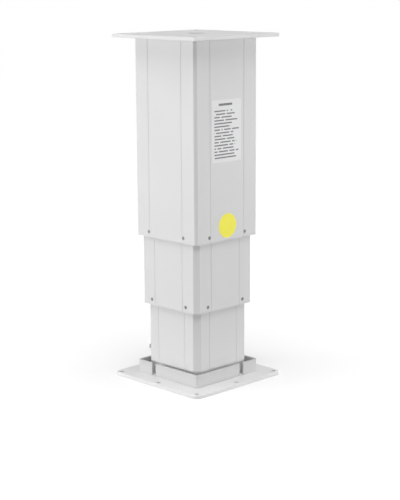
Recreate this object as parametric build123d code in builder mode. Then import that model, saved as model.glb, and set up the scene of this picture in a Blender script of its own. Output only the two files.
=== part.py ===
from build123d import *

import math
import os

# Electric lifting column: three nested square aluminium tubes on a base plate, raised by a spindle set.
# All sizes are millimetres and +Z is up. The origin is the centre of the base plate's underside.
# The front of the column faces -Y, and its power inlet is in the rear, on +Y.
# Heights are first worked out for the closed column. The model stands partly raised, as it is stored.

# Base plate
BASE_PLATE_SIZE = 210.0
BASE_PLATE_THICKNESS = 6.0
BASE_CORNER_RADIUS = 12.0
BASE_HOLE_EDGE = 10.0
BASE_HOLE_DIAMETER = 8.0
PLATE_EDGE_BREAK = 0.6

# Top plate
TOP_PLATE_SIZE = 200.0
TOP_PLATE_THICKNESS = 6.0
TOP_HOLE_EDGE = 10.0
TOP_HOLE_DIAMETER = 8.5
CENTRE_HOLE_DIAMETER = 28.0

# Tubes: the outer size and the gaps between walls give the other two sizes
OUTER_TUBE_SIZE = 148.5
TUBE_WALL = 3.0
OUTER_GAP = 2.0
INNER_GAP = 3.25
OUTER_CHAMFER = 4.2
CORNER_DEPTH = 8.9
OUTER_CORNER_GAP = 0.7
INNER_CORNER_GAP = 1.1
CHANNEL_BORE = 4.5
GROOVE_DEPTH = 0.6
OUTER_GROOVE_INSET = 34.0
MIDDLE_GROOVE_INSET = 35.0
INNER_GROOVE_INSET = 30.0
INNER_TUBE_LENGTH = 324.0

# Collar round the foot of the inner tube
COLLAR_HEIGHT = 22.5
COLLAR_WALL = 3.0
COLLAR_CLEARANCE = 2.25
COLLAR_BEND_RADIUS = 4.5
COLLAR_SLOT_WIDTH = 10.0
COLLAR_SLOT_INSET = 40.0

# Stages: closed clearances, the travel of one stage, and how far each stands raised in this model
CLOSED_COLLAR_GAP = 1.5
MIDDLE_FOOT_HEIGHT = 15.0
STAGE_TRAVEL = 172.0
STORED_RISE = 112.0
HEAD_ROOM = 7.0
FLANGE_ROOM = 16.0

# Slide pads, guide frames and the screws at the tube feet
SLIDE_CLEARANCE = 0.3
PAD_WIDTH = 18.0
PAD_HEIGHT = 30.0
FRAME_HEIGHT = 24.0
FOOT_SCREW_HEIGHT = 9.0
OUTER_SCREW_INSET = 31.5
MIDDLE_SCREW_INSET = 27.0
FOOT_SCREW_HEAD = 6.4
FOOT_SCREW_SHANK = 3.0
SCREW_TIP_CLEARANCE = 0.3
SCREW_FIT = 0.1

# Screws that hold the plates to the tubes
PLATE_SCREW_HEAD = 7.0
PLATE_SCREW_SHANK = 4.4
PLATE_SCREW_GRIP = 14.0

# Power inlet and the notch that clears its plug when the column is closed
INLET_INSET = 18.5
INLET_HEIGHT = 40.5
INLET_DIAMETER = 7.7
INLET_PROTRUSION = 12.0
INLET_DEPTH = 18.0
INLET_BORE = 5.7
INLET_BORE_DEPTH = 10.0
INLET_PIN = 2.0
INLET_NUT_FLATS = 11.0
INLET_NUT_THICKNESS = 2.5
NOTCH_WIDTH = 18.0

# Spindle set
HEX_FLATS = 10.0
HEX_CLEARANCE = 0.05
SPINDLE_DIAMETER = 18.0
SPINDLE_BORE = 12.5
LEAD_SCREW_DIAMETER = 26.0
LEAD_SCREW_BORE = 20.0
RUNNING_FIT = 0.05
BUSH_LENGTH = 16.0
BUSH_FLANGE = 4.0
SPINDLE_END_GAP = 4.0

# Head plate and its fixed nut
HEAD_PLATE_THICKNESS = 8.0
HEAD_PLATE_MARGIN = 0.5
FIXED_NUT_BODY = 36.0
FIXED_NUT_FLANGE = 52.0
FIXED_NUT_FLANGE_THICKNESS = 4.0
FIXED_NUT_LENGTH = 32.0
NUT_SCREW_HEAD = 5.0
NUT_SCREW_SHANK = 2.6

# Bearing plate, its ball bearing and the turning nut
BEARING_PLATE_THICKNESS = 9.0
BEARING_BORE = 30.0
BEARING_DIAMETER = 42.0
BEARING_WIDTH = 7.0
BEARING_RACE = 2.1
SHIELD_RECESS = 0.5
BEARING_LIP_BORE = 37.0
TURNING_NUT_FLANGE = 34.0
TURNING_NUT_FLANGE_THICKNESS = 3.5
NECK_LENGTH = 3.0
NECK_STEP = 1.0
RING_THICKNESS = 1.2
RING_GROOVE_DEPTH = 0.7
RING_WIDTH = 3.4
RING_OPENING = 6.0

# Spindle flange under the top plate and its bolt
FLANGE_DIAMETER = 64.0
FLANGE_THICKNESS = 8.0
FLANGE_SPIGOT_HEIGHT = 1.0
FLANGE_SPIGOT_CLEARANCE = 0.1
FLANGE_SOCKET = 5.0
FLANGE_SCREW_CIRCLE = 48.0
FLANGE_SCREW_SHANK = 4.0
FLANGE_SCREW_HEAD = 7.0
FLANGE_SCREW_HEAD_HEIGHT = 2.5
FLANGE_SCREW_REACH = 4.0
SPINDLE_BOLT_FLATS = 13.0
SPINDLE_BOLT_HEAD = 4.4
SPINDLE_BOLT_SHANK = 8.0
SPINDLE_BOLT_LENGTH = 26.0

# Gear housing, motor and output bearing
GEAR_WALL_CLEARANCE = 6.0
GEAR_CORNER_RADIUS = 18.0
GEAR_HOUSING_HEIGHT = 20.0
GEAR_COVER_THICKNESS = 6.0
GEAR_COVER_STEP = 1.5
GEAR_BOSS_DIAMETER = 42.0
GEAR_BOSS_HEIGHT = 14.0
RIB_THICKNESS = 3.0
RIB_LENGTH = 9.0
SHAFT_POCKET_DEPTH = 6.0
SHAFT_ROOM = 1.0
SHAFT_JOURNAL = 20.0
SHAFT_SHOULDER = 25.0
SHAFT_SHOULDER_HEIGHT = 5.7
OUTPUT_BEARING_DIAMETER = 34.0
OUTPUT_BEARING_WIDTH = 10.0
OUTPUT_BEARING_SET = 2.0
BUSH_STANDOFF = 6.0
GEAR_SCREW_SPREAD = 38.0
COVER_SCREW_EDGE = 8.0
COVER_SCREW_HEAD = 8.0
COVER_SCREW_HEAD_HEIGHT = 3.0
COVER_SCREW_SHANK = 4.0
COVER_SCREW_REACH = 10.0
MOTOR_LENGTH = 70.0
MOTOR_WALL_CLEARANCE = 11.0
MOTOR_BOSS_CLEARANCE = 4.8
MOTOR_SEAT_HEIGHT = 2.0
MOTOR_EDGE_RADIUS = 3.0
END_CAP_HEIGHT = 6.0
END_CAP_STEP = 3.0

# Control board on its bracket, and the two inner leads
SHEET_THICKNESS = 1.5
BRACKET_EDGE = 0.5
BRACKET_FOOT = 14.0
BRACKET_HEIGHT = 92.0
BRACKET_WIDTH = 58.0
BRACKET_SHIFT = -5.0
BRACKET_SCREW_SPREAD = 20.0
BRACKET_SCREW_INSET = 8.5
SPACER_DIAMETER = 6.0
SPACER_LENGTH = 4.0
BOARD_THICKNESS = 1.6
BOARD_WIDTH = 60.0
BOARD_HEIGHT = 72.0
BOARD_RAISE = 8.0
TERMINAL_WIDTH = 10.0
TERMINAL_HEIGHT = 12.0
TERMINAL_DEPTH = 10.0
RELAY_WIDTH = 15.0
RELAY_HEIGHT = 19.0
RELAY_GAP = 1.5
RELAY_DEPTH = 11.5
CAPACITOR_DIAMETER = 12.0
FIN_THICKNESS = 1.5
FIN_PITCH = 3.0
FIN_COUNT = 6
LEAD_DIAMETER = 3.6
LEAD_LOOP_HEIGHT = 38.0
LEAD_BEND_SHARE = 0.45

SIDES = ((0, -1), (1, 0), (0, 1), (-1, 0))
# Foot screws and pads on the front, right, rear and left sides. The rear has only one, beside its notch.
FOOT_PLACES = ((-1, 1), (-1, 1), (-1,), (-1, 1))
ROOT2 = math.sqrt(2.0)


def leg_of(size, corner):
    """The corner cut of a square whose cut faces lie at a distance from its axis."""
    return size - ROOT2 * corner


# Tube sections, from the outside inwards
outer_hollow = OUTER_TUBE_SIZE - 2 * TUBE_WALL
middle_size = outer_hollow - 2 * OUTER_GAP
middle_hollow = middle_size - 2 * TUBE_WALL
inner_size = middle_hollow - 2 * INNER_GAP
inner_hollow = inner_size - 2 * TUBE_WALL
outer_corner = (OUTER_TUBE_SIZE - OUTER_CHAMFER) / ROOT2
outer_hollow_corner = outer_corner - CORNER_DEPTH
middle_corner = outer_hollow_corner - OUTER_CORNER_GAP
middle_hollow_corner = middle_corner - CORNER_DEPTH
inner_corner = middle_hollow_corner - INNER_CORNER_GAP
inner_hollow_corner = inner_corner - CORNER_DEPTH
outer_pad = OUTER_GAP - SLIDE_CLEARANCE
middle_pad = INNER_GAP - SLIDE_CLEARANCE

# Heights of the closed column
base_top = BASE_PLATE_THICKNESS
collar_top = base_top + COLLAR_HEIGHT
inner_top = base_top + INNER_TUBE_LENGTH
head_top = inner_top + HEAD_PLATE_THICKNESS
middle_foot_closed = base_top + MIDDLE_FOOT_HEIGHT
middle_length = head_top + HEAD_ROOM - middle_foot_closed
bearing_top_closed = middle_foot_closed + middle_length + BEARING_PLATE_THICKNESS
outer_foot_closed = collar_top + CLOSED_COLLAR_GAP
outer_length = bearing_top_closed + FLANGE_ROOM - outer_foot_closed

# Heights of the model as it stands
middle_lift = STORED_RISE
top_lift = 2 * STORED_RISE
middle_foot = middle_foot_closed + middle_lift
middle_top = middle_foot + middle_length
outer_foot = outer_foot_closed + top_lift
outer_top = outer_foot + outer_length
column_top = outer_top + TOP_PLATE_THICKNESS
inlet_z = base_top + INLET_HEIGHT
inlet_x = INLET_INSET - inner_size / 2

# Heights of the gear unit and the spindle set
cover_bottom = base_top + GEAR_HOUSING_HEIGHT
cover_top = cover_bottom + GEAR_COVER_THICKNESS
boss_top = cover_top + GEAR_BOSS_HEIGHT
output_bearing_top = boss_top - OUTPUT_BEARING_SET
output_bearing_bottom = output_bearing_top - OUTPUT_BEARING_WIDTH
shoulder_bottom = output_bearing_top + SLIDE_CLEARANCE
shoulder_top = shoulder_bottom + SHAFT_SHOULDER_HEIGHT
bush_bottom_closed = shoulder_top + BUSH_STANDOFF
screw_bottom_closed = bush_bottom_closed + BUSH_FLANGE
bush_top_closed = screw_bottom_closed + BUSH_LENGTH
hex_top = bush_top_closed + STAGE_TRAVEL + SPINDLE_END_GAP
bearing_bottom = middle_top
nut_flange_top = bearing_bottom - SLIDE_CLEARANCE
nut_flange_bottom = nut_flange_top - TURNING_NUT_FLANGE_THICKNESS
nut_top = middle_top + BEARING_PLATE_THICKNESS
flange_bottom = outer_top - FLANGE_THICKNESS
spindle_bottom = bush_top_closed + SPINDLE_END_GAP + top_lift
spindle_bore_top = hex_top + SPINDLE_END_GAP + top_lift


def cut_square(size, corner):
    """A square outline whose corners are cut off by faces at a distance from its axis."""
    with BuildSketch() as outline:
        Rectangle(size, size)
        chamfer(outline.vertices(), leg_of(size, corner))
    return outline.sketch


def save(piece, name):
    """Labels a finished piece and writes it to its own file."""
    piece.label = name
    export_step(piece, f"parts/{name}.step")


def side_planes(distance, height):
    """An outward plane on each side of a square tube: front, right, rear and left."""
    return [
        Plane(origin=(distance * x, distance * y, height), x_dir=(-y, x, 0), z_dir=(x, y, 0))
        for x, y in SIDES
    ]


def foot_places(distance, reach, height):
    """The places of the foot screws or pads, on the sides of a tube."""
    return [
        plane.location * Location((side * reach, 0, 0))
        for plane, sides in zip(side_planes(distance, height), FOOT_PLACES)
        for side in sides
    ]


def channel_spots(corner):
    """The centres of a tube's four screw channels."""
    reach = (corner - CORNER_DEPTH / 2) / ROOT2
    return GridLocations(2 * reach, 2 * reach, 2, 2)


def countersunk_screw(head, shank, length):
    """A countersunk screw with its flat head at the origin, pointing down."""
    cone = (head - shank) / 2
    with BuildPart() as screw:
        with BuildSketch(Plane.XZ):
            with BuildLine():
                Polyline(
                    (0, 0),
                    (head / 2, 0),
                    (shank / 2, -cone),
                    (shank / 2, -length),
                    (0, -length),
                    close=True,
                )
            make_face()
        revolve(axis=Axis.Z)
    return screw.part


def headed_screw(head, head_height, shank, length):
    """A screw with a cylindrical head that stands on the origin, and its shank below it."""
    with BuildPart() as screw:
        with BuildSketch():
            Circle(head / 2)
        extrude(amount=head_height)
        with BuildSketch():
            Circle(shank / 2)
        extrude(amount=-length)
    return screw.part


def make_tube(size, corner, hollow, hollow_corner, foot, length, groove_inset):
    """A square tube with cut corners, a screw channel in each and two fine grooves on each side."""
    outside = cut_square(size, corner)
    inside = cut_square(hollow, hollow_corner)
    groove = size / 2 - groove_inset
    channel_radius = corner - CORNER_DEPTH / 2
    with BuildPart() as tube:
        with BuildSketch(Plane.XY.offset(foot)):
            add(outside)
            add(inside, mode=Mode.SUBTRACT)
            with PolarLocations(channel_radius, 4, start_angle=45):
                Circle(CHANNEL_BORE / 2, mode=Mode.SUBTRACT)
            with PolarLocations(size / 2, 4):
                with Locations((0, -groove), (0, groove)):
                    Rectangle(GROOVE_DEPTH * ROOT2, GROOVE_DEPTH * ROOT2, rotation=45, mode=Mode.SUBTRACT)
        extrude(amount=length)
    return tube.part


def make_moving_tube(plain_tube, size, screw_inset, foot, lift):
    """A tube of a moving stage, with countersunk foot holes and the notch that clears the power plug."""
    notch_height = inlet_z - (foot - lift)
    with BuildPart() as tube:
        add(plain_tube)
        with Locations(*foot_places(size / 2, size / 2 - screw_inset, foot + FOOT_SCREW_HEIGHT)):
            CounterSinkHole(
                FOOT_SCREW_SHANK / 2 + SCREW_FIT, FOOT_SCREW_HEAD / 2 + SCREW_FIT, 2 * TUBE_WALL, 90
            )
        with BuildSketch(Plane(origin=(inlet_x, size / 2, foot), x_dir=(-1, 0, 0), z_dir=(0, 1, 0))):
            with Locations((0, notch_height / 2)):
                Rectangle(NOTCH_WIDTH, notch_height)
            with Locations((0, notch_height)):
                Circle(NOTCH_WIDTH / 2)
        extrude(amount=-2 * CORNER_DEPTH, mode=Mode.SUBTRACT)
    return tube.part


def make_pads(hollow, thickness, reach, foot):
    """Flat slide pads inside the foot of a tube, each with its screw hole."""
    with BuildPart() as pads:
        with Locations(*foot_places(hollow / 2, reach, foot + PAD_HEIGHT / 2)):
            Box(PAD_WIDTH, PAD_HEIGHT, thickness, align=(Align.CENTER, Align.CENTER, Align.MAX))
        with Locations(*foot_places(hollow / 2, reach, foot + FOOT_SCREW_HEIGHT)):
            Cylinder(
                FOOT_SCREW_SHANK / 2 + SCREW_FIT,
                thickness,
                align=(Align.CENTER, Align.CENTER, Align.MAX),
                mode=Mode.SUBTRACT,
            )
    return pads.part


def make_foot_screws(size, thickness, screw_inset, foot):
    """The countersunk screws that hold the slide pads of one tube."""
    screw = countersunk_screw(
        FOOT_SCREW_HEAD, FOOT_SCREW_SHANK, TUBE_WALL + thickness - SCREW_TIP_CLEARANCE
    )
    with BuildPart() as screws:
        with Locations(*foot_places(size / 2, size / 2 - screw_inset, foot + FOOT_SCREW_HEIGHT)):
            add(screw)
    return screws.part


def make_guide_frame(size, corner, hollow, hollow_corner, top):
    """A moulded frame round the head of a tube, which slides inside the next tube."""
    clearance = 2 * SLIDE_CLEARANCE
    outside = cut_square(hollow - clearance, hollow_corner - SLIDE_CLEARANCE)
    inside = cut_square(size + 2 * RUNNING_FIT, corner + RUNNING_FIT)
    with BuildPart() as frame:
        with BuildSketch(Plane.XY.offset(top)):
            add(outside)
            add(inside, mode=Mode.SUBTRACT)
        extrude(amount=-FRAME_HEIGHT)
    return frame.part


os.makedirs("parts", exist_ok=True)
down = Plane(origin=(0, 0, 0), x_dir=(1, 0, 0), z_dir=(0, 0, -1))
plate_screw_length = BASE_PLATE_THICKNESS + PLATE_SCREW_GRIP
plate_screw = countersunk_screw(PLATE_SCREW_HEAD, PLATE_SCREW_SHANK, plate_screw_length)

# Base plate: eight bolt holes, and countersunk holes below for the tube and gear housing screws
base_hole_spacing = BASE_PLATE_SIZE - 2 * BASE_HOLE_EDGE
with BuildPart() as base_plate:
    with BuildSketch():
        RectangleRounded(BASE_PLATE_SIZE, BASE_PLATE_SIZE, BASE_CORNER_RADIUS)
        with GridLocations(base_hole_spacing, base_hole_spacing, 2, 2):
            Circle(BASE_HOLE_DIAMETER / 2, mode=Mode.SUBTRACT)
        with PolarLocations(base_hole_spacing / 2, 4):
            Circle(BASE_HOLE_DIAMETER / 2, mode=Mode.SUBTRACT)
    extrude(amount=BASE_PLATE_THICKNESS)
    chamfer(base_plate.faces().sort_by(Axis.Z)[-1].edges(), PLATE_EDGE_BREAK)
    with Locations(down):
        with channel_spots(inner_corner):
            CounterSinkHole(PLATE_SCREW_SHANK / 2 + SCREW_FIT, PLATE_SCREW_HEAD / 2 + SCREW_FIT, None, 90)
        with GridLocations(2 * GEAR_SCREW_SPREAD, 2 * GEAR_SCREW_SPREAD, 2, 2):
            CounterSinkHole(PLATE_SCREW_SHANK / 2 + SCREW_FIT, PLATE_SCREW_HEAD / 2 + SCREW_FIT, None, 90)
save(base_plate.part, "base_plate")

with BuildPart() as base_screws:
    with Locations(down):
        with channel_spots(inner_corner):
            add(plate_screw)
save(base_screws.part, "base_screws")

# Collar: two long and two short bent walls, welded to the base plate with slots between them
collar_inside = middle_size + 2 * COLLAR_CLEARANCE
collar_outside = collar_inside + 2 * COLLAR_WALL
slot_middle = collar_outside / 2 - COLLAR_SLOT_INSET
long_reach = slot_middle - COLLAR_SLOT_WIDTH / 2
short_reach = slot_middle + COLLAR_SLOT_WIDTH / 2
collar_edge = collar_outside / 2 + COLLAR_WALL
collar_walls = {
    "front_collar_wall": (-1, -1, -long_reach),
    "rear_collar_wall": (1, 1, -long_reach),
    "left_collar_wall": (-1, 1, short_reach),
    "right_collar_wall": (1, -1, short_reach),
}
for wall_name, (side_x, side_y, near) in collar_walls.items():
    span = collar_edge - near
    with BuildPart() as collar_wall:
        with BuildSketch(Plane.XY.offset(base_top)):
            RectangleRounded(collar_outside, collar_outside, COLLAR_BEND_RADIUS)
            RectangleRounded(
                collar_inside, collar_inside, COLLAR_BEND_RADIUS - COLLAR_WALL, mode=Mode.SUBTRACT
            )
            with Locations((side_x * (near + span / 2), side_y * (near + span / 2))):
                Rectangle(span, span, mode=Mode.INTERSECT)
        extrude(amount=COLLAR_HEIGHT)
    save(collar_wall.part, wall_name)

# Inner tube, with the hole for the power inlet in its rear wall
inlet_plane = Plane(origin=(inlet_x, inner_size / 2, inlet_z), x_dir=(-1, 0, 0), z_dir=(0, 1, 0))
with BuildPart() as inner_tube:
    add(
        make_tube(
            inner_size,
            inner_corner,
            inner_hollow,
            inner_hollow_corner,
            base_top,
            INNER_TUBE_LENGTH,
            INNER_GROOVE_INSET,
        )
    )
    with Locations(inlet_plane):
        Hole(INLET_DIAMETER / 2 + SCREW_FIT, INLET_DEPTH)
save(inner_tube.part, "inner_tube")

# Power inlet: a round socket with a centre pin, and the nut that holds it
with BuildPart() as power_inlet:
    with BuildSketch(inlet_plane.offset(-INLET_DEPTH)):
        Circle(INLET_DIAMETER / 2)
    extrude(amount=INLET_DEPTH + INLET_PROTRUSION)
    with BuildSketch(inlet_plane.offset(INLET_PROTRUSION)):
        Circle(INLET_BORE / 2)
        Circle(INLET_PIN / 2, mode=Mode.SUBTRACT)
    extrude(amount=-INLET_BORE_DEPTH, mode=Mode.SUBTRACT)
save(power_inlet.part, "power_inlet")

with BuildPart() as inlet_nut:
    with BuildSketch(inlet_plane):
        RegularPolygon(INLET_NUT_FLATS / 2, 6, major_radius=False)
        Circle(INLET_DIAMETER / 2 + RUNNING_FIT, mode=Mode.SUBTRACT)
    extrude(amount=INLET_NUT_THICKNESS)
save(inlet_nut.part, "inlet_nut")

# Gear housing: a closed casting with stepped sides, and its cover with the output boss and ribs
gear_size = inner_hollow - 2 * GEAR_WALL_CLEARANCE
cover_size = gear_size - 2 * GEAR_COVER_STEP
motor_reach = inner_hollow / 2 - MOTOR_WALL_CLEARANCE
motor_room = ROOT2 * motor_reach - GEAR_BOSS_DIAMETER / 2 - MOTOR_BOSS_CLEARANCE
motor_radius = motor_room / (1 + ROOT2)
motor_offset = motor_reach - motor_radius
motor_spot = (motor_offset, -motor_offset)
motor_seat_top = cover_top + MOTOR_SEAT_HEIGHT
cover_reach = cover_size / 2 - COVER_SCREW_EDGE
cover_spots = ((cover_reach, 0), (0, cover_reach), (0, -cover_reach))
bracket_back = BRACKET_EDGE - cover_size / 2
bracket_screw_x = bracket_back + BRACKET_SCREW_INSET
bracket_spots = [(bracket_screw_x, BRACKET_SHIFT + side * BRACKET_SCREW_SPREAD) for side in (-1, 1)]
bracket_screw_length = GEAR_COVER_THICKNESS - SCREW_TIP_CLEARANCE
with BuildPart() as gear_housing:
    with BuildSketch(Plane.XY.offset(base_top)):
        RectangleRounded(gear_size, gear_size, GEAR_CORNER_RADIUS)
    extrude(amount=GEAR_HOUSING_HEIGHT)
    with BuildSketch(Plane.XY.offset(cover_bottom)):
        Circle(SHAFT_JOURNAL / 2 + SCREW_FIT)
        with Locations(*cover_spots):
            Circle(COVER_SCREW_SHANK / 2 + RUNNING_FIT)
    extrude(amount=-SHAFT_POCKET_DEPTH, mode=Mode.SUBTRACT)
    with BuildSketch(Plane.XY.offset(base_top)):
        with GridLocations(2 * GEAR_SCREW_SPREAD, 2 * GEAR_SCREW_SPREAD, 2, 2):
            Circle(PLATE_SCREW_SHANK / 2 + RUNNING_FIT)
    extrude(amount=PLATE_SCREW_GRIP + SCREW_TIP_CLEARANCE, mode=Mode.SUBTRACT)
save(gear_housing.part, "gear_housing")

with BuildPart() as gear_housing_screws:
    with Locations(down):
        with GridLocations(2 * GEAR_SCREW_SPREAD, 2 * GEAR_SCREW_SPREAD, 2, 2):
            add(plate_screw)
save(gear_housing_screws.part, "gear_housing_screws")

with BuildPart() as gear_cover:
    with BuildSketch(Plane.XY.offset(cover_bottom)):
        RectangleRounded(cover_size, cover_size, GEAR_CORNER_RADIUS - GEAR_COVER_STEP)
    extrude(amount=GEAR_COVER_THICKNESS)
    with BuildSketch(Plane.XY.offset(cover_top)):
        Circle(GEAR_BOSS_DIAMETER / 2)
    extrude(amount=GEAR_BOSS_HEIGHT)
    with BuildSketch(Plane.XY.offset(cover_top)):
        with Locations(motor_spot):
            Circle(motor_radius + MOTOR_SEAT_HEIGHT)
    extrude(amount=MOTOR_SEAT_HEIGHT)
    with BuildSketch(Plane.XY.offset(cover_top)):
        with PolarLocations(GEAR_BOSS_DIAMETER / 2 + RIB_THICKNESS, 4):
            Rectangle(RIB_LENGTH, RIB_THICKNESS)
    extrude(amount=GEAR_BOSS_HEIGHT / 2)
    with BuildSketch(Plane.XY.offset(cover_bottom)):
        Circle(SHAFT_JOURNAL / 2 + SHAFT_ROOM)
        with Locations(*cover_spots, *bracket_spots):
            Circle(COVER_SCREW_SHANK / 2 + SCREW_FIT)
    extrude(amount=GEAR_COVER_THICKNESS + GEAR_BOSS_HEIGHT, mode=Mode.SUBTRACT)
    with BuildSketch(Plane.XY.offset(output_bearing_bottom)):
        Circle(OUTPUT_BEARING_DIAMETER / 2 + RUNNING_FIT)
    extrude(amount=boss_top - output_bearing_bottom, mode=Mode.SUBTRACT)
save(gear_cover.part, "gear_cover")

cover_screw = headed_screw(COVER_SCREW_HEAD, COVER_SCREW_HEAD_HEIGHT, COVER_SCREW_SHANK, COVER_SCREW_REACH)
with BuildPart() as gear_cover_screws:
    with Locations(Plane.XY.offset(cover_top)):
        with Locations(*cover_spots):
            add(cover_screw)
save(gear_cover_screws.part, "gear_cover_screws")

# Motor: a steel can with rounded shoulders, and its moulded end cap with the lead's outlet
motor_top = motor_seat_top + MOTOR_LENGTH
end_cap_top = motor_top + END_CAP_HEIGHT
with BuildPart() as motor_can:
    with BuildSketch(Plane.XY.offset(motor_seat_top)):
        with Locations(motor_spot):
            Circle(motor_radius)
    extrude(amount=MOTOR_LENGTH)
    fillet(motor_can.faces().sort_by(Axis.Z)[-1].edges(), MOTOR_EDGE_RADIUS)
save(motor_can.part, "motor_can")

with BuildPart() as motor_end_cap:
    with BuildSketch(Plane.XY.offset(motor_top)):
        with Locations(motor_spot):
            Circle(motor_radius - END_CAP_STEP)
    extrude(amount=END_CAP_HEIGHT)
    chamfer(motor_end_cap.faces().sort_by(Axis.Z)[-1].edges(), PLATE_EDGE_BREAK)
save(motor_end_cap.part, "motor_end_cap")


def make_ball_bearing(bore, diameter, width, bottom):
    """A ball bearing as one ring, with its shields set back between the two races."""
    inner_race = bore / 2 + BEARING_RACE
    outer_race = diameter / 2 - BEARING_RACE
    with BuildPart() as bearing:
        with BuildSketch(Plane.XY.offset(bottom)):
            Circle(diameter / 2)
            Circle(bore / 2, mode=Mode.SUBTRACT)
        extrude(amount=width)
        with BuildSketch(Plane.XY.offset(bottom), Plane.XY.offset(bottom + width - SHIELD_RECESS)):
            Circle(outer_race)
            Circle(inner_race, mode=Mode.SUBTRACT)
        extrude(amount=SHIELD_RECESS, mode=Mode.SUBTRACT)
    return bearing.part


save(
    make_ball_bearing(
        SHAFT_JOURNAL + 2 * RUNNING_FIT, OUTPUT_BEARING_DIAMETER, OUTPUT_BEARING_WIDTH, output_bearing_bottom
    ),
    "output_bearing",
)

# Drive shaft: a journal and shoulder in the gear unit, and a long hexagonal bar above it
shaft_bottom = cover_bottom - SHAFT_POCKET_DEPTH + SHAFT_ROOM
with BuildPart() as drive_shaft:
    with BuildSketch(Plane.XY.offset(shaft_bottom)):
        Circle(SHAFT_JOURNAL / 2)
    extrude(amount=shoulder_bottom - shaft_bottom)
    with BuildSketch(Plane.XY.offset(shoulder_bottom)):
        Circle(SHAFT_SHOULDER / 2)
    extrude(amount=SHAFT_SHOULDER_HEIGHT)
    with BuildSketch(Plane.XY.offset(shoulder_top)):
        RegularPolygon(HEX_FLATS / 2, 6, major_radius=False)
    extrude(amount=hex_top - shoulder_top)
save(drive_shaft.part, "drive_shaft")

# Head plate on the inner tube, with the fixed nut let into it
nut_screw_circle = (FIXED_NUT_BODY + FIXED_NUT_FLANGE) / 2
nut_screw = countersunk_screw(NUT_SCREW_HEAD, NUT_SCREW_SHANK, HEAD_PLATE_THICKNESS - SCREW_TIP_CLEARANCE)
head_outline = cut_square(inner_size - 2 * HEAD_PLATE_MARGIN, inner_corner - HEAD_PLATE_MARGIN)
with BuildPart() as head_plate:
    with BuildSketch(Plane.XY.offset(inner_top)):
        add(head_outline)
        Circle(FIXED_NUT_BODY / 2 + SCREW_FIT, mode=Mode.SUBTRACT)
        with PolarLocations(nut_screw_circle / 2, 4):
            Circle(NUT_SCREW_SHANK / 2 + SCREW_FIT, mode=Mode.SUBTRACT)
    extrude(amount=HEAD_PLATE_THICKNESS)
    with BuildSketch(Plane.XY.offset(head_top)):
        Circle(FIXED_NUT_FLANGE / 2 + SCREW_FIT)
    extrude(amount=-FIXED_NUT_FLANGE_THICKNESS, mode=Mode.SUBTRACT)
    with Locations(Plane.XY.offset(head_top)):
        with channel_spots(inner_corner):
            CounterSinkHole(PLATE_SCREW_SHANK / 2 + SCREW_FIT, PLATE_SCREW_HEAD / 2 + SCREW_FIT, None, 90)
save(head_plate.part, "head_plate")

with BuildPart() as head_plate_screws:
    with Locations(Plane.XY.offset(head_top)):
        with channel_spots(inner_corner):
            add(plate_screw)
save(head_plate_screws.part, "head_plate_screws")

with BuildPart() as fixed_nut:
    with BuildSketch(Plane.XY.offset(head_top - FIXED_NUT_FLANGE_THICKNESS)):
        Circle(FIXED_NUT_FLANGE / 2)
    extrude(amount=FIXED_NUT_FLANGE_THICKNESS)
    with BuildSketch(Plane.XY.offset(head_top - FIXED_NUT_LENGTH)):
        Circle(FIXED_NUT_BODY / 2)
    extrude(amount=FIXED_NUT_LENGTH)
    with BuildSketch(Plane.XY.offset(head_top)):
        Circle(LEAD_SCREW_DIAMETER / 2 + RUNNING_FIT)
    extrude(amount=-FIXED_NUT_LENGTH, mode=Mode.SUBTRACT)
    with Locations(Plane.XY.offset(head_top)):
        with PolarLocations(nut_screw_circle / 2, 4):
            CounterSinkHole(NUT_SCREW_SHANK / 2 + SCREW_FIT, NUT_SCREW_HEAD / 2 + SCREW_FIT, None, 90)
save(fixed_nut.part, "fixed_nut")

with BuildPart() as fixed_nut_screws:
    with Locations(Plane.XY.offset(head_top)):
        with PolarLocations(nut_screw_circle / 2, 4):
            add(nut_screw)
save(fixed_nut_screws.part, "fixed_nut_screws")

save(
    make_guide_frame(inner_size, inner_corner, middle_hollow, middle_hollow_corner, head_top),
    "inner_guide_frame",
)

# Board bracket: a folded sheet that stands on the gear cover
with BuildPart() as board_bracket:
    with BuildSketch(Plane.XZ.offset(-BRACKET_SHIFT - BRACKET_WIDTH / 2)):
        with Locations((bracket_back, cover_top)):
            Rectangle(SHEET_THICKNESS, BRACKET_HEIGHT, align=Align.MIN)
            Rectangle(BRACKET_FOOT, SHEET_THICKNESS, align=Align.MIN)
    extrude(amount=BRACKET_WIDTH)
    fillet(board_bracket.edges().filter_by(Axis.Y).group_by(Axis.Z)[0].sort_by(Axis.X)[0], SHEET_THICKNESS)
    with Locations(Plane.XY.offset(cover_top + SHEET_THICKNESS)):
        with Locations(*bracket_spots):
            Hole(COVER_SCREW_SHANK / 2 + SCREW_FIT, SHEET_THICKNESS)
save(board_bracket.part, "board_bracket")

bracket_screw = headed_screw(
    COVER_SCREW_HEAD, COVER_SCREW_HEAD_HEIGHT, COVER_SCREW_SHANK, bracket_screw_length + SHEET_THICKNESS
)
with BuildPart() as bracket_screws:
    with Locations(Plane.XY.offset(cover_top + SHEET_THICKNESS)):
        with Locations(*bracket_spots):
            add(bracket_screw)
save(bracket_screws.part, "bracket_screws")

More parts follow.
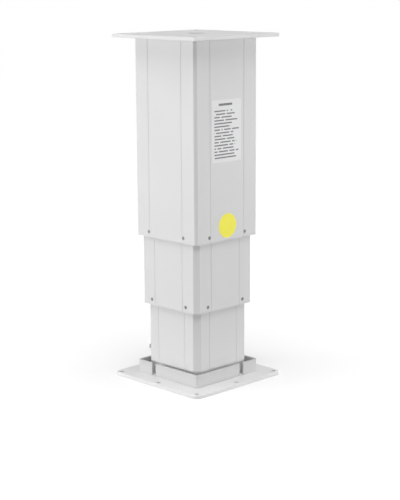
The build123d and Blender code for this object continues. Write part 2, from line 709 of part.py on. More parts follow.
# Control board on four spacers: terminals at two edges, two relays, two capacitors and a finned heat sink
board_middle_z = cover_top + BOARD_RAISE + BOARD_HEIGHT / 2
bracket_face = bracket_back + SHEET_THICKNESS
board_back = bracket_face + SPACER_LENGTH
board_face = board_back + BOARD_THICKNESS
spacer_width = BOARD_WIDTH - 2 * SPACER_DIAMETER
spacer_height = BOARD_HEIGHT - 2 * SPACER_DIAMETER
spacer_plane = Plane(origin=(bracket_face, BRACKET_SHIFT, board_middle_z), x_dir=(0, 1, 0), z_dir=(1, 0, 0))
with BuildPart() as board_spacers:
    with BuildSketch(spacer_plane):
        with GridLocations(spacer_width, spacer_height, 2, 2):
            Circle(SPACER_DIAMETER / 2)
    extrude(amount=SPACER_LENGTH)
save(board_spacers.part, "board_spacers")

board_plane = spacer_plane.offset(SPACER_LENGTH)
board_edge_y = BRACKET_SHIFT + BOARD_WIDTH / 2
inlet_terminal_z = inlet_z - board_middle_z
terminal_shift = (BOARD_WIDTH - TERMINAL_WIDTH) / 2
motor_terminal_z = (BOARD_HEIGHT - TERMINAL_HEIGHT) / 2
with BuildPart() as control_board:
    with BuildSketch(board_plane):
        Rectangle(BOARD_WIDTH, BOARD_HEIGHT)
    extrude(amount=BOARD_THICKNESS)
    with BuildSketch(board_plane.offset(BOARD_THICKNESS)):
        with Locations((terminal_shift, inlet_terminal_z), (-terminal_shift, motor_terminal_z)):
            Rectangle(TERMINAL_WIDTH, TERMINAL_HEIGHT)
    extrude(amount=TERMINAL_DEPTH)
    with BuildSketch(board_plane.offset(BOARD_THICKNESS)):
        with GridLocations(RELAY_WIDTH + RELAY_GAP, 0, 2, 1):
            Rectangle(RELAY_WIDTH, RELAY_HEIGHT)
    extrude(amount=RELAY_DEPTH)
    with BuildSketch(board_plane.offset(BOARD_THICKNESS)):
        with Locations((0, RELAY_HEIGHT), (CAPACITOR_DIAMETER + RELAY_GAP, RELAY_HEIGHT)):
            Circle(CAPACITOR_DIAMETER / 2)
    extrude(amount=TERMINAL_DEPTH)
    with BuildSketch(board_plane.offset(BOARD_THICKNESS)):
        with Locations((-CAPACITOR_DIAMETER, -RELAY_HEIGHT)):
            with GridLocations(FIN_PITCH, 0, FIN_COUNT, 1):
                Rectangle(FIN_THICKNESS, RELAY_WIDTH)
            Rectangle(FIN_COUNT * FIN_PITCH, FIN_THICKNESS)
    extrude(amount=TERMINAL_DEPTH)
save(control_board.part, "control_board")

# Inner leads: a short straight one from the inlet, and one that rises from the motor and drops to the board
inlet_inner_y = inner_size / 2 - INLET_DEPTH
inlet_lead_plane = Plane(origin=(inlet_x, inlet_inner_y, inlet_z), x_dir=(-1, 0, 0), z_dir=(0, -1, 0))
with BuildPart() as inlet_lead:
    with BuildSketch(inlet_lead_plane):
        Circle(LEAD_DIAMETER / 2)
    extrude(amount=inlet_inner_y - board_edge_y)
save(inlet_lead.part, "inlet_lead")

lead_y = BRACKET_SHIFT - terminal_shift
lead_start_x = motor_offset - motor_radius / 2
lead_end_x = board_face + TERMINAL_DEPTH / 2
lead_end_z = board_middle_z + BOARD_HEIGHT / 2
lead_top_z = end_cap_top + LEAD_LOOP_HEIGHT
lead_runs = (lead_top_z - end_cap_top, lead_start_x - lead_end_x, lead_top_z - lead_end_z)
lead_bend = LEAD_BEND_SHARE * min(lead_runs)
with BuildPart() as motor_lead:
    with BuildLine() as lead_path:
        FilletPolyline(
            (lead_start_x, lead_y, end_cap_top),
            (lead_start_x, lead_y, lead_top_z),
            (lead_end_x, lead_y, lead_top_z),
            (lead_end_x, lead_y, lead_end_z),
            radius=lead_bend,
        )
    with BuildSketch(Plane(origin=(lead_start_x, lead_y, end_cap_top), z_dir=(0, 0, 1))):
        Circle(LEAD_DIAMETER / 2)
    sweep()
save(motor_lead.part, "motor_lead")
print("Motor lead bend radius", round(lead_bend, 1))

# Middle stage
middle_tube = make_moving_tube(
    make_tube(
        middle_size,
        middle_corner,
        middle_hollow,
        middle_hollow_corner,
        middle_foot,
        middle_length,
        MIDDLE_GROOVE_INSET,
    ),
    middle_size,
    MIDDLE_SCREW_INSET,
    middle_foot,
    middle_lift,
)
save(middle_tube, "middle_tube")
save(
    make_pads(middle_hollow, middle_pad, middle_size / 2 - MIDDLE_SCREW_INSET, middle_foot),
    "middle_slide_pads",
)
save(make_foot_screws(middle_size, middle_pad, MIDDLE_SCREW_INSET, middle_foot), "middle_pad_screws")
save(
    make_guide_frame(middle_size, middle_corner, outer_hollow, outer_hollow_corner, nut_top),
    "middle_guide_frame",
)

# Bearing plate on the middle tube: the bearing is let in from below, under a lip that carries the stage
bearing_outline = cut_square(middle_size - 2 * HEAD_PLATE_MARGIN, middle_corner - HEAD_PLATE_MARGIN)
with BuildPart() as bearing_plate:
    with BuildSketch(Plane.XY.offset(middle_top)):
        add(bearing_outline)
        Circle(BEARING_LIP_BORE / 2, mode=Mode.SUBTRACT)
    extrude(amount=BEARING_PLATE_THICKNESS)
    with BuildSketch(Plane.XY.offset(middle_top)):
        Circle(BEARING_DIAMETER / 2 + RUNNING_FIT)
    extrude(amount=BEARING_WIDTH, mode=Mode.SUBTRACT)
    with Locations(Plane.XY.offset(nut_top)):
        with channel_spots(middle_corner):
            CounterSinkHole(PLATE_SCREW_SHANK / 2 + SCREW_FIT, PLATE_SCREW_HEAD / 2 + SCREW_FIT, None, 90)
save(bearing_plate.part, "bearing_plate")

with BuildPart() as bearing_plate_screws:
    with Locations(Plane.XY.offset(nut_top)):
        with channel_spots(middle_corner):
            add(plate_screw)
save(bearing_plate_screws.part, "bearing_plate_screws")

save(
    make_ball_bearing(BEARING_BORE + 2 * RUNNING_FIT, BEARING_DIAMETER, BEARING_WIDTH, bearing_bottom),
    "screw_bearing",
)

# Lead screw: hollow, with a turned neck that enters the turning nut
screw_bottom = screw_bottom_closed + middle_lift
neck_top = nut_flange_bottom + NECK_LENGTH
with BuildPart() as lead_screw:
    with BuildSketch(Plane.XY.offset(screw_bottom)):
        Circle(LEAD_SCREW_DIAMETER / 2)
    extrude(amount=nut_flange_bottom - screw_bottom)
    with BuildSketch(Plane.XY.offset(nut_flange_bottom)):
        Circle(LEAD_SCREW_DIAMETER / 2 - NECK_STEP)
    extrude(amount=NECK_LENGTH)
    with BuildSketch(Plane.XY.offset(screw_bottom)):
        Circle(LEAD_SCREW_BORE / 2)
    extrude(amount=neck_top - screw_bottom, mode=Mode.SUBTRACT)
save(lead_screw.part, "lead_screw")

# Drive bush in the foot of the lead screw, with the hexagonal hole that the drive shaft turns
with BuildPart() as drive_bush:
    with BuildSketch(Plane.XY.offset(screw_bottom - BUSH_FLANGE)):
        Circle(LEAD_SCREW_DIAMETER / 2)
    extrude(amount=BUSH_FLANGE)
    with BuildSketch(Plane.XY.offset(screw_bottom)):
        Circle(LEAD_SCREW_BORE / 2 - RUNNING_FIT)
    extrude(amount=BUSH_LENGTH)
    with BuildSketch(Plane.XY.offset(screw_bottom - BUSH_FLANGE)):
        RegularPolygon(HEX_FLATS / 2 + HEX_CLEARANCE, 6, major_radius=False)
    extrude(amount=BUSH_FLANGE + BUSH_LENGTH, mode=Mode.SUBTRACT)
save(drive_bush.part, "drive_bush")

# Turning nut at the head of the lead screw, its journal in the bearing, and the ring that keeps it there
ring_bottom = bearing_bottom + BEARING_WIDTH + SLIDE_CLEARANCE
ring_groove = BEARING_BORE / 2 - RING_GROOVE_DEPTH
with BuildPart() as turning_nut:
    with BuildSketch(Plane.XY.offset(nut_flange_bottom)):
        Circle(TURNING_NUT_FLANGE / 2)
    extrude(amount=TURNING_NUT_FLANGE_THICKNESS)
    with BuildSketch(Plane.XY.offset(nut_flange_top)):
        Circle(BEARING_BORE / 2)
    extrude(amount=nut_top - nut_flange_top)
    with BuildSketch(Plane.XY.offset(ring_bottom)):
        Circle(BEARING_BORE / 2)
        Circle(ring_groove, mode=Mode.SUBTRACT)
    extrude(amount=RING_THICKNESS, mode=Mode.SUBTRACT)
    with BuildSketch(Plane.XY.offset(nut_flange_bottom)):
        Circle(LEAD_SCREW_DIAMETER / 2 - NECK_STEP + RUNNING_FIT)
    extrude(amount=NECK_LENGTH, mode=Mode.SUBTRACT)
    with BuildSketch(Plane.XY.offset(nut_flange_bottom)):
        Circle(SPINDLE_DIAMETER / 2 + RUNNING_FIT)
    extrude(amount=nut_top - nut_flange_bottom, mode=Mode.SUBTRACT)
save(turning_nut.part, "turning_nut")

with BuildPart() as retaining_ring:
    with BuildSketch(Plane.XY.offset(ring_bottom)):
        Circle(ring_groove + RING_WIDTH)
        Circle(ring_groove, mode=Mode.SUBTRACT)
        with Locations((0, -BEARING_BORE / 2)):
            Rectangle(RING_OPENING, BEARING_BORE / 2, mode=Mode.SUBTRACT)
    extrude(amount=RING_THICKNESS)
save(retaining_ring.part, "retaining_ring")

# Outer tube and its foot
outer_tube = make_moving_tube(
    make_tube(
        OUTER_TUBE_SIZE,
        outer_corner,
        outer_hollow,
        outer_hollow_corner,
        outer_foot,
        outer_length,
        OUTER_GROOVE_INSET,
    ),
    OUTER_TUBE_SIZE,
    OUTER_SCREW_INSET,
    outer_foot,
    top_lift,
)
save(outer_tube, "outer_tube")
save(
    make_pads(outer_hollow, outer_pad, OUTER_TUBE_SIZE / 2 - OUTER_SCREW_INSET, outer_foot),
    "outer_slide_pads",
)
save(make_foot_screws(OUTER_TUBE_SIZE, outer_pad, OUTER_SCREW_INSET, outer_foot), "outer_pad_screws")

# Top plate: four bolt holes, the centre hole, and blind holes below for the flange screws
top_hole_spacing = TOP_PLATE_SIZE - 2 * TOP_HOLE_EDGE
with BuildPart() as top_plate:
    with BuildSketch(Plane.XY.offset(outer_top)):
        Rectangle(TOP_PLATE_SIZE, TOP_PLATE_SIZE)
        Circle(CENTRE_HOLE_DIAMETER / 2, mode=Mode.SUBTRACT)
        with GridLocations(top_hole_spacing, top_hole_spacing, 2, 2):
            Circle(TOP_HOLE_DIAMETER / 2, mode=Mode.SUBTRACT)
    extrude(amount=TOP_PLATE_THICKNESS)
    with BuildSketch(Plane.XY.offset(outer_top)):
        with PolarLocations(FLANGE_SCREW_CIRCLE / 2, 4, start_angle=45):
            Circle(FLANGE_SCREW_SHANK / 2 + RUNNING_FIT)
    extrude(amount=FLANGE_SCREW_REACH + SCREW_TIP_CLEARANCE, mode=Mode.SUBTRACT)
    with Locations(Plane.XY.offset(column_top)):
        with channel_spots(outer_corner):
            CounterSinkHole(PLATE_SCREW_SHANK / 2 + SCREW_FIT, PLATE_SCREW_HEAD / 2 + SCREW_FIT, None, 90)
save(top_plate.part, "top_plate")

top_screw = countersunk_screw(PLATE_SCREW_HEAD, PLATE_SCREW_SHANK, TOP_PLATE_THICKNESS + PLATE_SCREW_GRIP)
with BuildPart() as top_plate_screws:
    with Locations(Plane.XY.offset(column_top)):
        with channel_spots(outer_corner):
            add(top_screw)
save(top_plate_screws.part, "top_plate_screws")

# Spindle flange under the top plate, its screws, the spindle itself and the bolt that holds it
spigot_radius = CENTRE_HOLE_DIAMETER / 2 - FLANGE_SPIGOT_CLEARANCE
spindle_neck = SPINDLE_DIAMETER / 2 - NECK_STEP
flange_screw_length = FLANGE_THICKNESS + FLANGE_SCREW_REACH
with BuildPart() as spindle_flange:
    with BuildSketch(Plane.XY.offset(flange_bottom)):
        Circle(FLANGE_DIAMETER / 2)
    extrude(amount=FLANGE_THICKNESS)
    with BuildSketch(Plane.XY.offset(outer_top)):
        Circle(spigot_radius)
    extrude(amount=FLANGE_SPIGOT_HEIGHT)
    with BuildSketch(Plane.XY.offset(flange_bottom)):
        Circle(spindle_neck + RUNNING_FIT)
    extrude(amount=FLANGE_SOCKET, mode=Mode.SUBTRACT)
    with BuildSketch(Plane.XY.offset(flange_bottom)):
        Circle(SPINDLE_BOLT_SHANK / 2 + SCREW_FIT)
        with PolarLocations(FLANGE_SCREW_CIRCLE / 2, 4, start_angle=45):
            Circle(FLANGE_SCREW_SHANK / 2 + SCREW_FIT)
    extrude(amount=FLANGE_THICKNESS + FLANGE_SPIGOT_HEIGHT, mode=Mode.SUBTRACT)
save(spindle_flange.part, "spindle_flange")

flange_screw = headed_screw(
    FLANGE_SCREW_HEAD, FLANGE_SCREW_HEAD_HEIGHT, FLANGE_SCREW_SHANK, flange_screw_length
)
under_flange = Plane(origin=(0, 0, flange_bottom), x_dir=(1, 0, 0), z_dir=(0, 0, -1))
with BuildPart() as flange_screws:
    with Locations(under_flange):
        with PolarLocations(FLANGE_SCREW_CIRCLE / 2, 4, start_angle=45):
            add(flange_screw)
save(flange_screws.part, "flange_screws")

bolt_seat = outer_top + FLANGE_SPIGOT_HEIGHT
bolt_tip = bolt_seat - SPINDLE_BOLT_LENGTH
with BuildPart() as spindle:
    with BuildSketch(Plane.XY.offset(spindle_bottom)):
        Circle(SPINDLE_DIAMETER / 2)
    extrude(amount=flange_bottom - spindle_bottom)
    with BuildSketch(Plane.XY.offset(flange_bottom)):
        Circle(spindle_neck)
    extrude(amount=FLANGE_SOCKET)
    with BuildSketch(Plane.XY.offset(spindle_bottom)):
        Circle(SPINDLE_BORE / 2)
    extrude(amount=spindle_bore_top - spindle_bottom, mode=Mode.SUBTRACT)
    with BuildSketch(Plane.XY.offset(flange_bottom + FLANGE_SOCKET)):
        Circle(SPINDLE_BOLT_SHANK / 2 + RUNNING_FIT)
    extrude(amount=bolt_tip - SCREW_TIP_CLEARANCE - flange_bottom - FLANGE_SOCKET, mode=Mode.SUBTRACT)
save(spindle.part, "spindle")

with BuildPart() as spindle_bolt:
    with BuildSketch(Plane.XY.offset(bolt_seat)):
        RegularPolygon(SPINDLE_BOLT_FLATS / 2, 6, major_radius=False)
    extrude(amount=SPINDLE_BOLT_HEAD)
    with BuildSketch(Plane.XY.offset(bolt_tip)):
        Circle(SPINDLE_BOLT_SHANK / 2)
    extrude(amount=SPINDLE_BOLT_LENGTH)
save(spindle_bolt.part, "spindle_bolt")

print("Column height", round(column_top, 2), "closed", round(column_top - top_lift, 2))
print("Tube lengths", round(INNER_TUBE_LENGTH, 2), round(middle_length, 2), round(outer_length, 2))
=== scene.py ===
"""Looks of a square electric lifting column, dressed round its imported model.

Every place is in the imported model's frame, in metres: the origin is under the middle of the base plate,
+Z is up, the front of the column faces -Y and its power inlet is in the rear.
"""

import logging
import math
from dataclasses import dataclass, replace
from enum import Enum

import bpy
import numpy as np
from mathutils import Matrix, Vector

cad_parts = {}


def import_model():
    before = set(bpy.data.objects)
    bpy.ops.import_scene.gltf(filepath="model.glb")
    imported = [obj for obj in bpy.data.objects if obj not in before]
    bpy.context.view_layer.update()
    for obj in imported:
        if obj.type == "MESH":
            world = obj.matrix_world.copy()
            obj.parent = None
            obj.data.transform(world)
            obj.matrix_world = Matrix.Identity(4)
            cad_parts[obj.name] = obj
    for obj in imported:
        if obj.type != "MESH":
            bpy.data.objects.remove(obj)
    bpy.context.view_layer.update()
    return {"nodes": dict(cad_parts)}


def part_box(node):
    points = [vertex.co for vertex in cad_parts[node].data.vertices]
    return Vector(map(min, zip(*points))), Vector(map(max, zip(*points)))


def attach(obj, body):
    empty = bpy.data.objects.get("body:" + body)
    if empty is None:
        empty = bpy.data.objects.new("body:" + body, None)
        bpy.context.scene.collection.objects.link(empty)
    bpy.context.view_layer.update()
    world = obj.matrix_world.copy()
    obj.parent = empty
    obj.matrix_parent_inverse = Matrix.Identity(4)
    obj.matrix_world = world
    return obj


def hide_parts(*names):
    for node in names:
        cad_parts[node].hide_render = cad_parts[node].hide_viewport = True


LOG = logging.getLogger("lifting_column")
MM = 0.001
UP = (0.0, 0.0, 1.0)
DOWN = (0.0, 0.0, -1.0)
# Faces that meet at more than this angle keep a sharp edge between them.
SHARP_DEGREES = 32.0
# The values that a noise texture seldom leaves.
NOISE_LOW, NOISE_HIGH = 0.3, 0.7
# The columns round a screw, and half the width of a cross recess's arm as a share of its reach.
SCREW_COLUMNS = 24
CROSS_ARM = 0.26

Tree = bpy.types.NodeTree
Socket = bpy.types.NodeSocket
Triple = tuple[float, float, float]
# A place in millimetres, and the direction that faces outwards there.
Place = tuple[Triple, Triple]


def linear(colour: str) -> tuple[float, float, float, float]:
    """Turns an sRGB hex colour into the linear values that a shader takes.

    Args:
        colour: The colour as "#RRGGBB".

    Returns:
        Red, green, blue and alpha.
    """
    shares = [int(colour[start : start + 2], 16) / 255 for start in (1, 3, 5)]
    values = [share / 12.92 if share <= 0.04045 else ((share + 0.055) / 1.055) ** 2.4 for share in shares]
    return values[0], values[1], values[2], 1.0


def per_metre(size_mm: float) -> float:
    """Returns the scale of a pattern whose real size is given in millimetres."""
    return 1.0 / (size_mm * MM)


def add_node(
    tree: Tree,
    kind: str,
    links: dict | None = None,
    values: dict | None = None,
    **settings: object,
) -> bpy.types.Node:
    """Adds one node to a tree, with its settings, its input values and its links.

    Args:
        tree: The node tree of a material or of the world.
        kind: The node's class name.
        links: Input name or number to the output socket that feeds it.
        values: Input name or number to its own value.
        **settings: Properties of the node.

    Returns:
        The new node.
    """
    node = tree.nodes.new(kind)
    for name, setting in settings.items():
        setattr(node, name, setting)
    for socket, value in (values or {}).items():
        node.inputs[socket].default_value = value
    for socket, source in (links or {}).items():
        tree.links.new(source, node.inputs[socket])
    return node


class Lines(Enum):
    """The way that fine tool marks run over a surface."""

    NONE = "none"
    UPRIGHT = "upright"
    TURNED = "turned"
    MILLED = "milled"


@dataclass(frozen=True)
class Finish:
    """A named material: its colour and gloss, and the fine marks of how it was made.

    Attributes:
        name: What the real material is.
        colour: The colour as sRGB hex.
        roughness: The mean roughness.
        metallic: 1 for bare metal, 0 for paint and plastic.
        ior: The index of refraction, which sets how much paint or plastic mirrors.
        cloud_mm: The size of slow changes in tone and gloss.
        tint: How far the tone moves either way, as a share.
        gloss_change: How far the roughness moves either way.
        grain_mm: The size of the surface's grain.
        grain_depth_mm: How deep the grain is.
        lines: The way that the tool marks run.
        line_mm: The distance between tool marks.
        line_depth_mm: How deep the tool marks are.
        edge_mm: The radius that edges are broken to, or 0 for an edge that the mesh breaks.
        worn: The colour that shows where an edge has rubbed.
        wear: How much of an edge has rubbed.
    """

    name: str
    colour: str
    roughness: float
    metallic: float = 0.0
    ior: float = 1.5
    cloud_mm: float = 45.0
    tint: float = 0.02
    gloss_change: float = 0.04
    grain_mm: float = 2.0
    grain_depth_mm: float = 0.01
    lines: Lines = Lines.NONE
    line_mm: float = 1.0
    line_depth_mm: float = 0.01
    edge_mm: float = 0.0
    worn: str = "#FFFFFF"
    wear: float = 0.0

    def build(self) -> bpy.types.Material:
        """Makes the material, with its pattern on the object's own coordinates.

        Returns:
            The new material.
        """
        material = bpy.data.materials.new(self.name)
        material.use_nodes = True
        tree = material.node_tree
        tree.nodes.clear()
        place = add_node(tree, "ShaderNodeTexCoord").outputs["Object"]
        cloud = add_node(
            tree,
            "ShaderNodeTexNoise",
            links={"Vector": place},
            values={"Scale": per_metre(self.cloud_mm), "Detail": 3.0},
        ).outputs["Fac"]
        rough = add_node(
            tree,
            "ShaderNodeMapRange",
            links={"Value": cloud},
            values={
                "From Min": NOISE_LOW,
                "From Max": NOISE_HIGH,
                "To Min": self.roughness - self.gloss_change,
                "To Max": self.roughness + self.gloss_change,
            },
        ).outputs["Result"]
        shader = add_node(
            tree,
            "ShaderNodeBsdfPrincipled",
            links={
                "Base Color": self.tone(tree, place, cloud),
                "Roughness": rough,
                "Normal": self.relief(tree, place),
            },
            values={"Metallic": self.metallic, "IOR": self.ior},
        )
        add_node(tree, "ShaderNodeOutputMaterial", links={"Surface": shader.outputs["BSDF"]})
        return material

    def tone(self, tree: Tree, place: Socket, cloud: Socket) -> Socket:
        """Mixes the colour from a slightly darker and a slightly lighter tone, with worn edges over it.

        Args:
            tree: The material's node tree.
            place: The object coordinates.
            cloud: The slow noise that moves the tone.

        Returns:
            The socket that carries the colour.
        """
        dark, light = (
            tuple(channel * (1 + side * self.tint) for channel in linear(self.colour)[:3]) + (1.0,)
            for side in (-1, 1)
        )
        colour = add_node(
            tree, "ShaderNodeMix", data_type="RGBA", links={0: cloud}, values={6: dark, 7: light}
        ).outputs[2]
        if not self.wear:
            return colour
        rubbed = add_node(
            tree,
            "ShaderNodeMath",
            operation="MULTIPLY",
            links={0: self.edge_share(tree), 1: self.rub_share(tree, place)},
        ).outputs["Value"]
        return add_node(
            tree,
            "ShaderNodeMix",
            data_type="RGBA",
            links={0: rubbed, 6: colour},
            values={7: linear(self.worn)},
        ).outputs[2]

    def edge_share(self, tree: Tree) -> Socket:
        """Finds edges: the rounded normal leans away from the face's own normal there.

        Args:
            tree: The material's node tree.

        Returns:
            The socket that is 1 on an edge and 0 on a flat.
        """
        reach = 1.5 * self.edge_mm * MM
        rounded = add_node(tree, "ShaderNodeBevel", samples=4, values={"Radius": reach})
        face = add_node(tree, "ShaderNodeNewGeometry")
        lean = add_node(
            tree,
            "ShaderNodeVectorMath",
            operation="DOT_PRODUCT",
            links={0: rounded.outputs["Normal"], 1: face.outputs["Normal"]},
        )
        # The cosine of the lean: nothing shows under some 6 degrees, and all of it from 26 degrees on.
        return add_node(
            tree,
            "ShaderNodeMapRange",
            links={"Value": lean.outputs["Value"]},
            values={"From Min": 0.995, "From Max": 0.9, "To Min": 0.0, "To Max": 1.0},
        ).outputs["Result"]

    def rub_share(self, tree: Tree, place: Socket) -> Socket:
        """Picks the stretches of edge that have rubbed, some 12 mm long, from a noise.

        Args:
            tree: The material's node tree.
            place: The object coordinates.

        Returns:
            The socket that is the share of rubbing.
        """
        stretch_mm = 12.0
        spots = add_node(
            tree,
            "ShaderNodeTexNoise",
            links={"Vector": place},
            values={"Scale": per_metre(stretch_mm), "Detail": 4.0},
        ).outputs["Fac"]
        # The upper half of the noise is rubbed, and so half of each edge is not.
        return add_node(
            tree,
            "ShaderNodeMapRange",
            links={"Value": spots},
            values={"From Min": 0.5, "From Max": NOISE_HIGH, "To Min": 0.0, "To Max": self.wear},
        ).outputs["Result"]

    def relief(self, tree: Tree, place: Socket) -> Socket:
        """Raises the grain and then the tool marks, over edges broken to their radius.

        Args:
            tree: The material's node tree.
            place: The object coordinates.

        Returns:
            The socket that carries the normal.
        """
        grain = add_node(
            tree,
            "ShaderNodeTexNoise",
            links={"Vector": place},
            values={"Scale": per_metre(self.grain_mm), "Detail": 2.0},
        ).outputs["Fac"]
        under = {"Height": grain}
        if self.edge_mm:
            rounded = add_node(tree, "ShaderNodeBevel", samples=4, values={"Radius": self.edge_mm * MM})
            under["Normal"] = rounded.outputs["Normal"]
        normal = add_node(
            tree, "ShaderNodeBump", links=under, values={"Distance": self.grain_depth_mm * MM}
        ).outputs["Normal"]
        if self.lines is Lines.NONE:
            return normal
        marks = add_node(
            tree,
            "ShaderNodeTexNoise",
            links={"Vector": self.line_place(tree, place)},
            values={"Scale": 1.0, "Detail": 2.0},
        ).outputs["Fac"]
        return add_node(
            tree,
            "ShaderNodeBump",
            links={"Height": marks, "Normal": normal},
            values={"Distance": self.line_depth_mm * MM},
        ).outputs["Normal"]

    def line_place(self, tree: Tree, place: Socket) -> Socket:
        """Stretches the coordinates along the tool marks, so that a noise draws them as lines.

        Drawn and milled marks keep one direction long. Turned marks depend on the height and on the distance
        from the column's axis alone, and every turned piece stands on that axis.

        Args:
            tree: The material's node tree.
            place: The object coordinates.

        Returns:
            The socket that carries the stretched coordinates.
        """
        stretch = 150
        fine = per_metre(self.line_mm)
        long = fine / stretch
        if self.lines is not Lines.TURNED:
            scale = (fine, fine, long) if self.lines is Lines.UPRIGHT else (long, fine, long)
            return add_node(
                tree, "ShaderNodeMapping", links={"Vector": place}, values={"Scale": scale}
            ).outputs["Vector"]
        parts = add_node(tree, "ShaderNodeSeparateXYZ", links={0: place})
        flat = add_node(
            tree, "ShaderNodeCombineXYZ", links={"X": parts.outputs["X"], "Y": parts.outputs["Y"]}
        )
        reach = add_node(tree, "ShaderNodeVectorMath", operation="LENGTH", links={0: flat.outputs[0]})
        ringed = add_node(
            tree, "ShaderNodeCombineXYZ", links={"X": reach.outputs["Value"], "Z": parts.outputs["Z"]}
        )
        return add_node(
            tree,
            "ShaderNodeMapping",
            links={"Vector": ringed.outputs[0]},
            values={"Scale": (fine, 1.0, fine)},
        ).outputs["Vector"]


@dataclass(frozen=True)
class RuledVinyl(Finish):
    """A printed sticker: a plain bar over broken rows, with no lettering, drawn on the piece's own UV map.

    Attributes:
        ink: The colour of the rows.
        rows: How many rows the sticker is divided into.
        columns: How many columns the rows may break in.
        thickness: The thickness of a row as a share of its pitch.
        printed_from: The height share where the rows start.
        printed_to: The height share where the rows end.
        margin: The share at either side that stays bare.
        ragged: The share of the width by which the shortest row is shorter than the longest.
        breaks: The share of the columns that stay bare in each row.
        bar: The bar's middle and half its width, then its height and half its thickness, as shares.
    """

    ink: str = "#56585A"
    rows: int = 20
    columns: int = 22
    thickness: float = 0.4
    printed_from: float = 0.06
    printed_to: float = 0.85
    margin: float = 0.08
    ragged: float = 0.3
    breaks: float = 0.12
    bar: tuple[float, float, float, float] = (0.46, 0.23, 0.925, 0.018)

    def tone(self, tree: Tree, place: Socket, cloud: Socket) -> Socket:
        """Prints the rows over the plain vinyl: each ends where it likes and has a few short breaks.

        Args:
            tree: The material's node tree.
            place: The object coordinates.
            cloud: The slow noise that moves the tone.

        Returns:
            The socket that carries the colour.
        """
        vinyl = super().tone(tree, place, cloud)
        uv = add_node(tree, "ShaderNodeTexCoord").outputs["UV"]
        parts = add_node(tree, "ShaderNodeSeparateXYZ", links={0: uv})
        across, up = parts.outputs["X"], parts.outputs["Y"]
        # One chance for each whole row, and one for each cell of it.
        length, cell = (self.chance(tree, uv, columns) for columns in (1, self.columns))
        counted = add_node(
            tree, "ShaderNodeMath", operation="MULTIPLY", links={0: up}, values={1: float(self.rows)}
        )
        in_row = add_node(tree, "ShaderNodeMath", operation="FRACT", links={0: counted.outputs[0]})
        row_end = add_node(
            tree,
            "ShaderNodeMath",
            operation="MULTIPLY_ADD",
            links={0: length},
            values={1: -self.ragged, 2: 1.0 - self.margin},
        )
        tests = [
            ("COMPARE", {0: in_row.outputs[0]}, {1: 0.5, 2: self.thickness / 2}),
            ("GREATER_THAN", {0: across}, {1: self.margin}),
            ("LESS_THAN", {0: across, 1: row_end.outputs[0]}, {}),
            ("GREATER_THAN", {0: up}, {1: self.printed_from}),
            ("LESS_THAN", {0: up}, {1: self.printed_to}),
            ("GREATER_THAN", {0: cell}, {1: self.breaks}),
        ]
        middle, half_width, level, half_thickness = self.bar
        bar_tests = [
            ("COMPARE", {0: across}, {1: middle, 2: half_width}),
            ("COMPARE", {0: up}, {1: level, 2: half_thickness}),
        ]
        rows, bar = self.passed(tree, tests), self.passed(tree, bar_tests)
        printed = add_node(tree, "ShaderNodeMath", operation="MAXIMUM", links={0: rows, 1: bar}).outputs[0]
        return add_node(
            tree,
            "ShaderNodeMix",
            data_type="RGBA",
            links={0: printed, 6: vinyl},
            values={7: linear(self.ink)},
        ).outputs[2]

    def chance(self, tree: Tree, uv: Socket, columns: int) -> Socket:
        """Draws one chance for each cell: a noise of the place, snapped to the cell's corner.

        Args:
            tree: The material's node tree.
            uv: The place on the sticker.
            columns: How many cells a row has.

        Returns:
            The socket that carries a number from 0 to 1, the same all over a cell.
        """
        size = (1.0 / columns, 1.0 / self.rows, 1.0)
        corner = add_node(tree, "ShaderNodeVectorMath", operation="SNAP", links={0: uv}, values={1: size})
        noise = add_node(tree, "ShaderNodeTexWhiteNoise", links={"Vector": corner.outputs[0]})
        return noise.outputs["Value"]

    def passed(self, tree: Tree, tests: list[tuple[str, dict[int, Socket], dict[int, float]]]) -> Socket:
        """Multiplies tests of a place on the sticker.

        Args:
            tree: The material's node tree.
            tests: Each test's operation, links and values.

        Returns:
            The socket that is 1 where every test holds, and 0 elsewhere.
        """
        product = None
        for operation, links, values in tests:
            test = add_node(tree, "ShaderNodeMath", operation=operation, links=links, values=values)
            result = test.outputs[0]
            if product is not None:
                both = {0: product, 1: result}
                result = add_node(tree, "ShaderNodeMath", operation="MULTIPLY", links=both).outputs[0]
            product = result
        return product


# Polyester powder coat on steel plate, baked to a satin skin: white-grey, with a faint orange peel, some
# 2.5 mm from wave to wave. A new coat shows almost no wear, only a few rubbed spots along its edges.
PLATE_COAT = Finish(
    "powder_coat_on_steel_plate",
    "#D8D8D8",
    roughness=0.5,
    cloud_mm=60.0,
    tint=0.012,
    grain_mm=2.5,
    grain_depth_mm=0.02,
    edge_mm=0.6,
    worn="#C9CBCC",
    wear=0.4,
)
# The same coat, with light and shade painted into its colour: a little whiter on the base plate, as painted
# light for the light thrown onto it, and a little greyer on the bent walls of the collar, as painted shade.
BASE_COAT_PAINTED_LIGHT = replace(PLATE_COAT, name="powder_coat_with_painted_light", colour="#E2E2E2")
COLLAR_COAT_PAINTED_SHADE = replace(PLATE_COAT, name="powder_coat_with_painted_shade", colour="#BDBDBD")
# The same coat on extruded aluminium: the die's lines, about 1.4 mm apart, still show through it, upright.
TUBE_COAT = Finish(
    "powder_coat_on_extruded_aluminium",
    "#CFCFCF",
    roughness=0.46,
    cloud_mm=90.0,
    tint=0.01,
    grain_mm=2.2,
    grain_depth_mm=0.012,
    lines=Lines.UPRIGHT,
    line_mm=1.4,
    line_depth_mm=0.008,
    edge_mm=0.5,
    worn="#BDBFC0",
    wear=0.35,
)
# Blue-white zinc plate on machined steel: a soft grey metal gloss with cloudy patches.
ZINC_PLATE = Finish(
    "zinc_plated_steel", "#A9ACAF", 0.34, 1.0, cloud_mm=3.0, tint=0.08, grain_mm=0.6, grain_depth_mm=0.01
)
# Zinc phosphate on the small foot screws: a darker, duller grey than zinc plate.
PHOSPHATE = Finish(
    "zinc_phosphated_steel", "#86888A", 0.5, 1.0, cloud_mm=2.0, tint=0.1, grain_mm=0.5, grain_depth_mm=0.01
)
